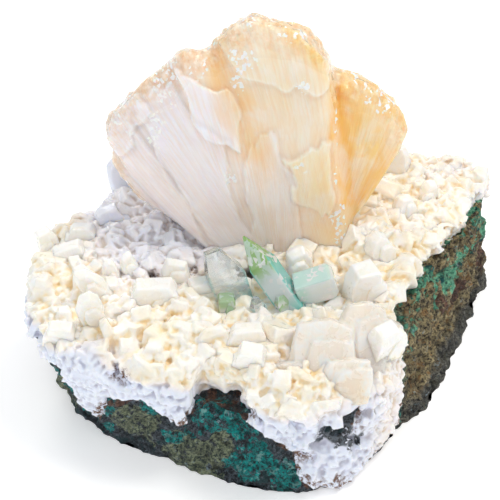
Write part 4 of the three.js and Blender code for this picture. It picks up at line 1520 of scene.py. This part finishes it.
    @staticmethod
    def lay_sheets(places: Array, normals: Array, grain: Array, tinted: Array) -> tuple[Array, Array]:
        """Lays the cleaved sheets on the front, with a painted highlight along each edge and a thin painted
        shadow under it.

        Args:
            places: the vertices.
            normals: their directions.
            grain: their places in their lobes.
            tinted: their colours.

        Returns:
            How far each vertex is pushed out, and its new colour.
        """
        front = eased(0.3, 0.65, -normals[:, 1])
        lift = np.zeros(len(places))
        for number, sheet in enumerate(SHEETS):
            ragged = 0.8 * soft_noise(grain * [1, 0.15, 0], 1.6, 300 + number)
            ragged += 1.2 * soft_noise(places * [1, 0, 1], 5.0, 320 + number)
            inside = sheet.inside(places[:, 0], places[:, 2]) + ragged
            mask = eased(-sheet.soft, sheet.soft, inside) * front
            lift += sheet.thickness * mask
            tinted = tinted + (np.array(sheet.tint) - tinted) * (mask * sheet.strength)[:, None]
            crisp = front if sheet.soft < 1 else front * 0
            # Painted highlight just inside a crisp sheet edge, and painted shade just outside it.
            painted_edge_highlight = 0.28 * np.exp(-((inside - 0.25) / 0.4) ** 2) * crisp
            painted_edge_shade = 0.08 * np.exp(-((inside + 0.7) / 0.5) ** 2) * crisp
            tinted = (tinted + (1 - tinted) * painted_edge_highlight[:, None]) * (1 - painted_edge_shade)[:, None]
        return lift, tinted

    @staticmethod
    def sparks(places: Array) -> Array:
        """How strongly each vertex glitters: 1.3 less its distance from a glint, broken up by noise."""
        spark = np.zeros(len(places))
        for x, z, across, along in GLINTS:
            away = np.hypot((places[:, 0] - x) / across, (places[:, 2] - z) / along)
            spark = np.maximum(spark, np.clip(1.3 - away, 0, 1))
        return spark * eased(-0.3, 0.5, layered_noise(places, 4.0, 19, 2))

    @staticmethod
    def rays(places: Array) -> Array:
        """Places in the whole fan's own millimetres: 45 times the angle about the pole, and the radius."""
        aside, above = places[:, 0] - RAY_POLE[0], places[:, 2] - RAY_POLE[1]
        return np.stack([45 * np.arctan2(aside, above), np.hypot(aside, above), 0.3 * places[:, 1]], axis=-1)

    def build(self) -> None:
        """Grows the lobes together, lays the cleaved sheets on the front and tints everything.

        Each vertex belongs to the lobe that it lies deepest in. Where two lobes meet, the
        groove is eased by evening the surface. The sheets then push the front outwards.
        """
        fan = melt("stilbite_sheaf", [self.lobe_body(lobe) for lobe in self.lobes], self.voxel)
        places = read_vertices(fan)[0]
        column = np.arange(len(places))
        found = [lobe.shares_at(places) for lobe in self.lobes]
        gaps = np.array([row[3] for row in found])
        order = np.argsort(gaps, axis=0)
        own = order[0]
        apart = gaps[order[1], column] - gaps[own, column]
        s, t, r = (np.array([row[k] for row in found])[own, column] for k in range(3))
        meeting = eased(5.0, 1.2, apart)
        places = places + (evened(fan, places, 60) - places) * (0.95 * meeting)[:, None]
        store(fan, places)
        normals = evened(fan, read_vertices(fan)[1], 8)
        normals /= np.maximum(np.linalg.norm(normals, axis=1, keepdims=True), 1e-6)
        radius = np.array([along_list(lobe.radii, s) for lobe in self.lobes])[own, column]
        widths = np.array([lobe.width() for lobe in self.lobes])[own]
        grain = grain_places(s * widths, r * radius, t, self.each("seed", own))
        rim = eased(11, 1.0, radius * (1 - r) + 3 * layered_noise(places, 6, 3, 2))
        tinted = self.lobe_tints(gaps, own, s, r, rim, places)
        lift, tinted = self.lay_sheets(places, normals, grain, tinted)
        places = places + normals * lift[:, None]
        store(fan, places, tint=tinted, grain=grain, rim=rim, spark=self.sparks(places),
              calm=eased(0.6, 2.4, apart), ray=self.rays(places))
        dress(fan, SheafFinish().material(), "stilbite_fan", "stilbite_fan")


FAN = (
    Lobe("upper_left", (-1.6, 17), 20, (4.2, 15.1), (-42.5, -22), (9.2, 16), (55.2, 58.8, 62, 65.4, 69, 67.5),
         tint(240, 236, 240), tint(246, 222, 192), tint(255, 220, 164), 1.0, 14, 10),
    Lobe("lower_left", (8.5, 6.5), 18.2, (5.6, 17.7), (-58.5, -43), (8, 15), (46, 52.5, 56, 57, 56),
         tint(236, 227, 226), tint(242, 218, 190), tint(248, 222, 190), 1.0, 10, 20),
    Lobe("crown", (12, 27.5), 19.6, (4.6, 19.2), (-29.5, -8.1), (9.4, 17),
         (59.5, 64.5, 68.4, 71.6, 73.5, 71, 69.2, 63.5),
         tint(250, 230, 204), tint(248, 220, 184), tint(255, 206, 128), 0.0, 12, 30),
    Lobe("crown_right", (17, 25.5), 20.3, (9.6, 23.8), (-19, -7.2), (9.8, 18), (62, 63, 62, 58),
         tint(255, 224, 168), tint(255, 216, 156), tint(255, 200, 104), 1.0, 6, 40),
    Lobe("front", (2, 30), 19, (5.8, 14.4), (-30, -15.8), (9.4, 14), (46, 50, 52, 52, 51, 48),
         tint(247, 232, 216), tint(250, 230, 204), tint(255, 206, 116), 1.0, 14, 50),
    # The right lobe's orange face is painted glow, as of light passing through it from behind.
    Lobe("right", (17.2, 18.2), 21.6, (8.4, 23.3), (-3, 31.5), (9, 18), (50.5, 52.6, 51.6, 49.2, 46.6, 43.5),
         tint(255, 212, 140), tint(253, 222, 172), tint(255, 182, 66), 0.12, 8, 60),
    Lobe("back_left", (0, 16.5), 20.9, (14.5, 26.2), (-43, -20), (12, 22), (42, 50, 54, 56),
         tint(246, 230, 212), tint(242, 214, 176), tint(246, 216, 172), 1.0, 14, 70),
    Lobe("back_right", (15.5, 20), 21.2, (15.6, 26.8), (-21, 27), (12, 22), (56, 54, 48, 40, 32),
         tint(252, 224, 178), tint(244, 208, 156), tint(252, 204, 120), 0.5, 14, 80),
)


# ---------------------------------------------------------------- single crystals


@dataclass(frozen=True)
class Stance:
    """Where a crystal stands: foot, sideways travel for each unit of rise, compass of its broad face."""

    foot: tuple[float, float, float]
    lean: tuple[float, float]
    facing: float

    def turn(self) -> Array:
        """The rotation that takes width, thickness and length to the bench frame."""
        axis = np.array([*self.lean, 1.0])
        axis /= np.linalg.norm(axis)
        angle = math.radians(self.facing)
        face = np.array([math.cos(angle), math.sin(angle), 0.0])
        face -= axis * face.dot(axis)
        face /= np.linalg.norm(face)
        return np.column_stack([np.cross(axis, face), -face, axis])

    def placed(self, local: Array) -> Array:
        """Local places moved to the bench frame."""
        return local @ self.turn().T + np.array(self.foot)

    def local(self, places: Array) -> Array:
        """Places of the bench frame as width, thickness and length from the foot."""
        return (places - np.array(self.foot)) @ self.turn()


class Habit(Enum):
    """Shapes of single crystals: the outline [x, z] at half thickness, and the broad faces' share of it."""

    BLADE = (((-0.8, 0), (0.8, 0), (1, 0.5), (0.8, 0.86), (0.25, 1), (-0.5, 0.95), (-1, 0.6)), 0.76)
    PLATE = (((-0.7, 0), (0.7, 0), (1, 0.6), (0.95, 0.94), (0.2, 1), (-0.8, 0.94), (-1, 0.7)), 0.93)
    BLOCK = ((), 1.0)


def tilted(points: Array, angle: float) -> Array:
    """Local places turned in the plane of width and length."""
    cosine, sine = math.cos(angle), math.sin(angle)
    return points @ np.array([[cosine, 0, sine], [0, 1, 0], [-sine, 0, cosine]])


SQUARE = np.array([(-1, -1), (1, -1), (1, 1), (-1, 1)])
PRISM_FACES = [grid_faces(3, 4, closed_columns=True), np.array([[3, 2, 1, 0]]), np.array([[8, 9, 10, 11]])]


@dataclass(frozen=True)
class Crystal:
    """A single stilbite crystal that stands for one node of the frame."""

    node: str
    stance: Stance
    size: tuple[float, float, float]  # length, width, thickness
    habit: Habit
    seed: int = 1

    def bodies(self) -> list[tuple[Array, list[Array]]]:
        """The crystal's flat-faced bodies, grown side by side.

        A blade or a plate is an outline that is widest halfway through its thickness, with
        smaller ones overlapping it. A block is a square section carried up to a cut-off
        pyramid, and has a smaller one turned a little beside it. Each corner strays a little.

        Returns:
            Local vertices and faces of each body.
        """
        return self.blocks() if self.habit is Habit.BLOCK else self.blades()

    def blades(self) -> list[tuple[Array, list[Array]]]:
        """Two overlapping flat bodies with bevelled sides."""
        length, width, thickness = self.size
        rng = np.random.default_rng(self.seed)
        shape, face_share = self.habit.value
        corners = len(shape)
        ring = np.arange(corners)
        faces = [ring[None, ::-1], ring[None] + 2 * corners, grid_faces(3, corners, closed_columns=True)]
        found = []
        side = rng.choice([-1, 1])
        for k in range(2):
            size = 1.0 - 0.22 * k * rng.uniform(0.8, 1.3)
            outline = np.array(shape) * [side, 1] + rng.normal(scale=0.035, size=(corners, 2))
            outline = outline * size * [width / 2, length]
            middle = outline.mean(axis=0)
            face = middle + (outline - middle) * face_share
            half = thickness * size / 2
            rings = [np.column_stack([o[:, 0], np.full(corners, y), o[:, 1]])
                     for o, y in ((face, -half), (outline, 0), (face, half))]
            turned = tilted(np.vstack(rings), k * side * rng.uniform(0.03, 0.2))
            found.append((turned + [k * side * 0.2 * width, -k * 0.34 * thickness, 0], faces))
        return found

    def blocks(self) -> list[tuple[Array, list[Array]]]:
        """Two overlapping square bodies with cut-off pyramid ends."""
        length, width, thickness = self.size
        rng = np.random.default_rng(self.seed)
        found = []
        for k, share in enumerate((1.0, 0.72)):
            corners = SQUARE * [width / 2, thickness / 2] * share
            rings = [(0.0, 0.97), (0.72 * length * share, 1.0), (length * share, 0.74)]
            shape = np.array([np.column_stack([corners * wide, np.full(4, z)]) for z, wide in rings])
            shape = shape + rng.normal(scale=0.03, size=shape.shape) * [width, thickness, length * 0.7]
            turned = tilted(shape.reshape(-1, 3), -0.25 * k * rng.uniform(-1, 1))
            beside = [k * rng.choice([-1, 1]) * 0.34 * width, -k * 0.2 * thickness, 0]
            found.append((turned + beside, PRISM_FACES))
        return found


def unite(name: str, parts: Sequence[bpy.types.Object]) -> bpy.types.Object:
    """Joins overlapping closed pieces into one solid that keeps their stored values.

    Args:
        name: the new piece's name.
        parts: the pieces, which are used up.

    Returns:
        The new object.
    """
    others = bpy.data.collections.new(name + "_others")
    bpy.context.scene.collection.children.link(others)
    for part in parts[1:]:
        others.objects.link(part)
        bpy.context.scene.collection.objects.unlink(part)
    join = parts[0].modifiers.new("join", "BOOLEAN")
    join.operation, join.solver = "UNION", "MANIFOLD"
    join.operand_type, join.collection = "COLLECTION", others
    shaped = shaped_mesh(parts[0])
    for part in parts:
        bpy.data.objects.remove(part)
    bpy.data.collections.remove(others)
    return put_object(name, shaped)


def finish_crystal(piece: bpy.types.Object, edge: float, levels: int, stance: Stance,
                   length: float, roughness: float, seed: int) -> None:
    """Rounds a crystal's edges, cuts it finer, wears its faces and stores grain, depth and a painted bluish
    shade.

    Args:
        piece: the crystal.
        edge: width of the rounded edges in millimetres.
        levels: how many times each face is halved.
        stance: where it stands.
        length: its length.
        roughness: depth of the wear in millimetres.
        seed: picks the wear.
    """
    soften = piece.modifiers.new("soften", "BEVEL")
    soften.width, soften.segments, soften.limit_method = edge * METRES, 2, "ANGLE"
    soften.angle_limit = math.radians(12)
    finer = piece.modifiers.new("finer", "SUBSURF")
    finer.subdivision_type = "SIMPLE"
    finer.levels = finer.render_levels = levels
    shaped = shaped_mesh(piece)
    piece.modifiers.clear()
    old = piece.data
    piece.data = shaped
    bpy.data.meshes.remove(old)
    places, directions = read_vertices(piece)
    local = stance.local(places)
    wear = roughness * (layered_noise(local * [1, 1, 0.5], 2.4, seed, 3)
                        + 1.4 * cube_relief(local, 2.6, seed + 5) - 0.2)
    places = places + directions * wear[:, None]
    x, y = places[:, 0], places[:, 1]
    # Painted bluish shade on crystals that stand behind and left of the fan.
    cool = eased(10, 26, y - 0.15 * x) * eased(-10, -24, x) * right_of_warm_edge(x, y)
    store(piece, places, grain=local, depth=local[:, 2] / length, cool=cool)
    shaped.shade_smooth()
    shaped.set_sharp_from_angle(angle=math.radians(SHARP_FROM))


def stilbite(node: str, foot: tuple, lean: tuple, facing: float, size: tuple, seed: int) -> Crystal:
    """A crystal whose habit follows from its node's name."""
    habit = Habit.BLOCK if "_block_" in node else Habit.PLATE if node.startswith("plate") else Habit.BLADE
    return Crystal(node, Stance(foot, lean, facing), size, habit, seed)


CRYSTALS = (
    stilbite("stilbite_blade_left_chisel", (-33.3, -9.4, 27), (-0.64, -0.1), -75, (14, 6.4, 3.6), 1),
    stilbite("stilbite_blade_left_pale", (-36.6, -18.4, 27), (-0.1, -0.1), -80, (13.4, 7, 3), 2),
    stilbite("stilbite_blade_pair_tall", (-27.2, -2.6, 27.5), (-0.39, 0.1), -60, (9.8, 4.6, 2.6), 3),
    stilbite("stilbite_blade_pair_short", (-32.6, -4.2, 27.5), (-0.24, 0.1), -75, (8.4, 4.4, 2.6), 4),
    stilbite("stilbite_blade_jagged", (-18, -4.6, 27.5), (-0.02, 0.1), -95, (9.2, 7.4, 3), 5),
    stilbite("stilbite_blade_foot_right", (13.1, -1.2, 28), (-0.2, 0.05), -70, (10, 7.4, 4.6), 6),
    stilbite("stilbite_blade_right_high", (32.6, 4, 28), (-0.25, 0.1), -60, (10, 7, 5), 7),
    stilbite("stilbite_blade_right_back", (39.5, 20.5, 28.5), (-0.1, 0.1), -50, (8, 6, 3.6), 8),
    stilbite("stilbite_blade_right_rim", (46, 27, 29), (0.08, 0.1), -60, (7, 5.2, 3.2), 9),
    stilbite("stilbite_blade_rear", (-32, 33, 26), (-0.3, 0.3), 110, (13, 7.4, 4), 10),
    stilbite("stilbite_blade_rear_right", (38, 38, 27), (0.2, 0.3), 70, (12, 7, 4), 11),
    stilbite("stilbite_block_left", (-22.6, -11.6, 26.5), (-0.02, 0.1), -88, (8.6, 10.4, 6.4), 12),
    stilbite("stilbite_block_left_rim", (-43.6, 4.4, 27), (-0.3, 0.05), -80, (6.6, 8.2, 5), 13),
    stilbite("stilbite_block_left_corner", (-50, 10.6, 27), (-0.3, 0), -60, (6.6, 5, 5), 14),
    stilbite("stilbite_block_left_back", (-42, 11.6, 27.5), (-0.02, 0.1), -92, (6.4, 6.4, 4.6), 15),
    stilbite("stilbite_block_under_fan", (-35.5, 18.6, 26), (-0.11, 0.05), -70, (8, 6.6, 5.4), 16),
    stilbite("stilbite_block_right", (25.8, -10.6, 27), (0.11, 0), -65, (12.6, 7.4, 6.2), 17),
    stilbite("stilbite_block_front", (0, -31.6, 26), (0.04, -0.2), -100, (9.4, 6.6, 5), 18),
    stilbite("stilbite_block_right_front", (29.8, -26.6, 26), (0.11, -0.2), -55, (11.6, 6.4, 5), 19),
    stilbite("stilbite_block_middle", (-11.8, -9, 27), (-0.06, 0.1), -75, (6.6, 5.4, 4.6), 20),
    stilbite("stilbite_block_before_green", (-0.4, -25, 27), (-0.04, 0), -85, (7, 8, 5), 21),
    stilbite("stilbite_block_left_front", (-44, -21.4, 26), (0, -0.2), -95, (6.4, 6.6, 4), 22),
)

PLATES = (
    stilbite("plate_back", (16.2, -36.4, 22.8), (0.03, 0.8), -93, (17.6, 14.5, 3.2), 31),
    stilbite("plate_right", (24.9, -31.2, 25.0), (0.12, 0.75), -80, (17, 11.5, 3.4), 32),
    stilbite("plate_front", (21.4, -38.8, 23.0), (0.05, 0.6), -86, (11, 11, 3.0), 33),
    stilbite("plate_left", (12.2, -32.0, 24.5), (0.1, 0.55), -104, (9, 7, 3.4), 34),
    stilbite("plate_low", (9.2, -36.4, 20.5), (-0.12, 0.5), -106, (11, 10.5, 3.6), 35),
    stilbite("plate_corner", (30.0, -27.6, 24.0), (0.2, 0.5), -68, (12, 8.5, 4.2), 36),
)


@dataclass
class SingleCrystals:
    """The larger stilbite crystals that stand in the druse, and the cluster of plates."""

    crystals: tuple[Crystal, ...] = CRYSTALS
    plates: tuple[Crystal, ...] = PLATES

    def build(self) -> None:
        """Makes every crystal and the joined cluster."""
        milky = PearlFinish("stilbite_milky", tint(255, 248, 238), tint(252, 236, 208)).material()
        for crystal in self.crystals:
            piece = unite(crystal.node + "_grown", self.parts(crystal, 0.3, 0.07))
            dress(piece, milky, "stilbite_blade", crystal.node)
        pearly = PearlFinish("stilbite_pearly", tint(255, 237, 225), tint(255, 228, 206), 3.0, 0.1).material()
        bodies = [(plate.stance.placed(local), faces)
                  for plate in self.plates for local, faces in plate.bodies()]
        cluster = melt("stilbite_plate_cluster", bodies, 0.26)
        places = evened(cluster, read_vertices(cluster)[0], 2)
        local = self.plates[0].stance.local(places)
        relief = 0.12 * layered_noise(local * [1, 1, 0.4], 2.0, 77, 3)
        places = places + read_vertices(cluster)[1] * relief[:, None]
        store(cluster, places, grain=local, depth=local[:, 2] / self.plates[0].size[0])
        dress(cluster, pearly, "stilbite_plate", "stilbite_plates_front")

    @staticmethod
    def parts(crystal: Crystal, edge: float, wear: float) -> list[bpy.types.Object]:
        """A crystal's bodies as finished pieces, ready to be joined."""
        made = []
        for number, (local, faces) in enumerate(crystal.bodies()):
            piece = put_mesh(f"{crystal.node}_{number}", crystal.stance.placed(local), faces)
            finish_crystal(piece, edge, 3, crystal.stance, crystal.size[0], wear, crystal.seed)
            made.append(piece)
        return made


@dataclass(frozen=True)
class Apophyllite:
    """A clear four-sided prism with a pyramid that is cut off flat."""

    node: str
    stance: Stance
    size: tuple[float, float, float]  # length, width, depth
    tip: float  # the pyramid's share of the length
    flat: float  # the flat top's share of the width
    finish: ClearFinish
    apex: tuple[float, float] = (0.0, 0.0)  # the flat top's place, in half widths

    def build(self) -> None:
        """Makes the crystal: a square section carried from the root to the flat top."""
        length, width, depth = self.size
        corners = SQUARE * [width / 2, depth / 2]
        rings = [(0.0, 0.98), (length * (1 - self.tip), 1.0), (length, self.flat)]
        local = np.vstack([np.column_stack([corners * wide, np.full(4, z)]) for z, wide in rings])
        local[8:, :2] += np.array(self.apex) * [width / 2, depth / 2]
        piece = put_mesh(self.node + "_grown", self.stance.placed(local), PRISM_FACES)
        finish_crystal(piece, 0.16, 3, self.stance, length, 0.0, 3)
        across = self.stance.local(read_vertices(piece)[0])
        # side marks the side faces for their painted shade.
        store(piece, side=eased(0.6, 0.98, np.abs(across[:, 0]) * 2 / width))
        slot = "apophyllite_clear" if "clear" in self.node else "apophyllite_green"
        dress(piece, self.finish.material(), slot, self.node)


GREEN = ClearFinish("apophyllite_green", tint(158, 200, 118), tint(112, 216, 206),
                    (0.55, 0.94, 0.78), 1.0, 0.35)
MOSS = ClearFinish("apophyllite_moss", tint(190, 220, 178), tint(180, 208, 152), (0.6, 0.9, 0.6), 3, 0.4)
AQUA = ClearFinish("apophyllite_aqua", tint(240, 250, 246), tint(206, 242, 234),
                   (0.5, 0.92, 0.86), 0.8, 0.2)
CLEAR = ClearFinish("apophyllite_water_clear", tint(252, 255, 255), tint(160, 224, 228),
                    (0.6, 0.94, 0.96), 1.5, 0.9, 0)

APOPHYLLITES = (
    Apophyllite("apophyllite_tall_green", Stance((13.8, -15.7, 25.0), (-0.92, 0.84), -86),
                (26.8, 6.0, 4.8), 0.3, 0.08, GREEN),
    Apophyllite("apophyllite_clear_left", Stance((-3.6, -9.4, 26.5), (-0.3, 0.3), -72),
                (15.4, 9.0, 6.6), 0.42, 0.4, CLEAR, (-0.3, 0.1)),
    Apophyllite("apophyllite_aqua_right", Stance((11.2, -10.3, 32.0), (3.0, 0.3), -90),
                (9.6, 6.4, 6.0), 0.12, 0.72, AQUA),
    Apophyllite("apophyllite_cube_green", Stance((-5.6, -14.2, 27), (0, 0.2), -84),
                (6.0, 4, 4), 0.1, 0.8, MOSS),
    Apophyllite("apophyllite_cube_front", Stance((9.6, -14.5, 25.5), (-0.35, 0.4), -60),
                (7.6, 4, 3.6), 0.2, 0.6, MOSS),
    Apophyllite("apophyllite_chip_olive", Stance((-4.3, -16.6, 25.5), (-0.1, 0.3), -70),
                (6.6, 3, 2.6), 0.4, 0.3, MOSS),
    Apophyllite("apophyllite_chip_clear", Stance((3.2, -16.2, 26.5), (-0.3, 0.3), -60),
                (7.4, 3.4, 3), 0.35, 0.4, CLEAR),
)


@dataclass
class ClearSpace:
    """The room that larger crystals keep to themselves, as tubes along their axes."""

    starts: Array
    ends: Array
    radii: Array
    lobes: tuple[Lobe, ...]

    @classmethod
    def round_crystals(cls) -> "ClearSpace":
        """The room of every single crystal, plate and apophyllite, and of the fan."""
        rows = [(c.stance, c.size, 0.42) for c in (*CRYSTALS, *PLATES)]
        rows += [(a.stance, a.size, 0.8) for a in APOPHYLLITES]
        starts = np.array([stance.foot for stance, _, _ in rows], float)
        ends = np.array([stance.placed(np.array([0, 0, size[0]])) for stance, size, _ in rows])
        radii = np.array([0.5 * (size[1] + size[2]) * share for _, size, share in rows])
        return cls(starts, ends, radii, FAN)

    def free(self, points: Array, margin: float) -> Array:
        """True for each place outside every tube, with a margin, and outside the fan's lobes.

        The distance to a tube is measured from the nearest point of its axis. A lobe holds a
        place if the place lies between its side rays and its two faces at the place's height.
        """
        span = self.ends - self.starts
        away = points[:, None] - self.starts[None]
        share = np.clip(np.einsum("nmk,mk->nm", away, span) / np.sum(span * span, axis=1), 0.0, 1)
        near = np.linalg.norm(away - share[..., None] * span, axis=-1) < self.radii + margin
        taken = near.any(axis=1)
        for lobe in self.lobes:
            rise = np.maximum(points[:, 2] - lobe.z, 0)
            within = np.ones(len(points), bool)
            for place, ends, angles in ((points[:, 0], lobe.x, lobe.turn), (points[:, 1], lobe.y, lobe.lean)):
                low, high = (end + rise * math.tan(math.radians(angle)) for end, angle in zip(ends, angles))
                within &= (place > low + 1) & (place < high - 1)
            taken |= within
        return ~taken


# ---------------------------------------------------------------- studio


@dataclass(frozen=True)
class FloorFinish:
    """Matt white paper with the faintest grain."""

    def material(self) -> bpy.types.Material:
        """The finish as a material."""
        r = Recipe("studio_paper")
        r.feed(r.mix(r.noise(30.0, 3), tint(252, 252, 252), tint(255, 255, 255)), "Base Color")
        r.set(Roughness=0.9, Specular_IOR_Level=0.1, Emission_Color=(1.0, 1.0, 1.0, 1.0),
              Emission_Strength=0.25)
        return r.material


FLOOR_HEIGHT = -0.02  # millimetres, just clear of the rock's underside
LIT = (0, 0, 0.04)  # the middle of the specimen, in metres
# Soft lamps as [name, place in metres, size in metres, power in watts, colour].
LAMPS = (
    ("key", (0.4, 0.16, 0.8), 0.35, 3.8, (1.0, 0.97, 0.92)),
    ("back", (-0.25, 0.6, 0.55), 0.3, 2.0, (1.0, 0.98, 0.95)),
    ("front", (-0.1, -0.85, 0.6), 0.8, 2.2, (1.0, 0.98, 0.97)),
    ("glint", (-0.2, -0.25, 1.1), 0.16, 0.8, (1.0, 1.0, 1.0)),
    ("low", (0.6, -0.7, 0.25), 0.35, 0.5, (1.0, 1.0, 1.0)),
    ("fill", (-0.7, -0.4, 0.5), 0.6, 1.2, (0.86, 0.93, 1.0)),
)


def aimed(name: str, data: bpy.types.ID, place: Vector, target: Vector) -> bpy.types.Object:
    """Puts a camera or a lamp at a place in metres, turned towards a target."""
    thing = bpy.data.objects.new(name, data)
    thing.location = place
    thing.rotation_euler = (target - place).to_track_quat("-Z", "Y").to_euler()
    bpy.context.scene.collection.objects.link(thing)
    return thing


@dataclass
class Studio:
    """Camera, soft lights and a pale floor."""

    eye: tuple[float, float, float] = (0.0, -258.01, 252.60)
    aim: tuple[float, float, float] = (0.0, 12.4, 25.7)
    lens: float = 100.0
    floor_half: float = 1.6  # metres

    def camera(self) -> None:
        """Sets the camera, looking from the eye to the aim in the bench frame."""
        data = bpy.data.cameras.new("camera")
        data.lens, data.sensor_width = self.lens, 36.0
        data.clip_start, data.clip_end = 0.01, 20.0
        eye, aim = (Vector((np.array(place) + BENCH_TO_ROW) * METRES) for place in (self.eye, self.aim))
        bpy.context.scene.camera = aimed("camera", data, eye, aim)

    @staticmethod
    def lamp(name: str, place: tuple, size: float, power: float, colour: Colour) -> None:
        """A square soft lamp in metres that shines at the middle of the specimen."""
        data = bpy.data.lights.new(name, "AREA")
        data.shape, data.size, data.energy, data.color = "SQUARE", size, power, colour
        aimed(name, data, Vector(place), Vector(LIT))

    def build(self) -> None:
        """Sets the lights, the sky and the floor."""
        for lamp in LAMPS:
            self.lamp(*lamp)
        world = bpy.data.worlds.new("studio_sky")
        world.use_nodes = True
        sky = world.node_tree.nodes["Background"]
        sky.inputs["Color"].default_value = (0.94, 0.97, 1.0, 1.0)
        sky.inputs["Strength"].default_value = 0.36
        bpy.context.scene.world = world
        bpy.context.scene.view_settings.view_transform = "Standard"
        half = self.floor_half
        corners = np.linspace(-half, half, 9) / METRES
        x, y = np.meshgrid(corners, corners)
        vertices = np.stack([x, y, np.full_like(x, FLOOR_HEIGHT)], axis=-1).reshape(-1, 3)
        floor = put_mesh("studio_floor", vertices, [grid_faces(9, 9)])
        floor.data.materials.append(FloorFinish().material())


def main() -> None:
    """Builds the studio and every sub-assembly in order."""
    logging.basicConfig(level=logging.INFO, format="%(name)s: %(message)s")
    studio = Studio()
    studio.camera()
    boulder = Boulder()
    MatrixRock(boulder).build()
    skin = CrustSkin(boulder)
    skin.lay_out()
    Druse(skin).build(ClearSpace.round_crystals())
    StilbiteFan(FAN).build()
    SingleCrystals().build()
    for crystal in APOPHYLLITES:
        crystal.build()
    studio.build()


if __name__ == "__main__":
    main()
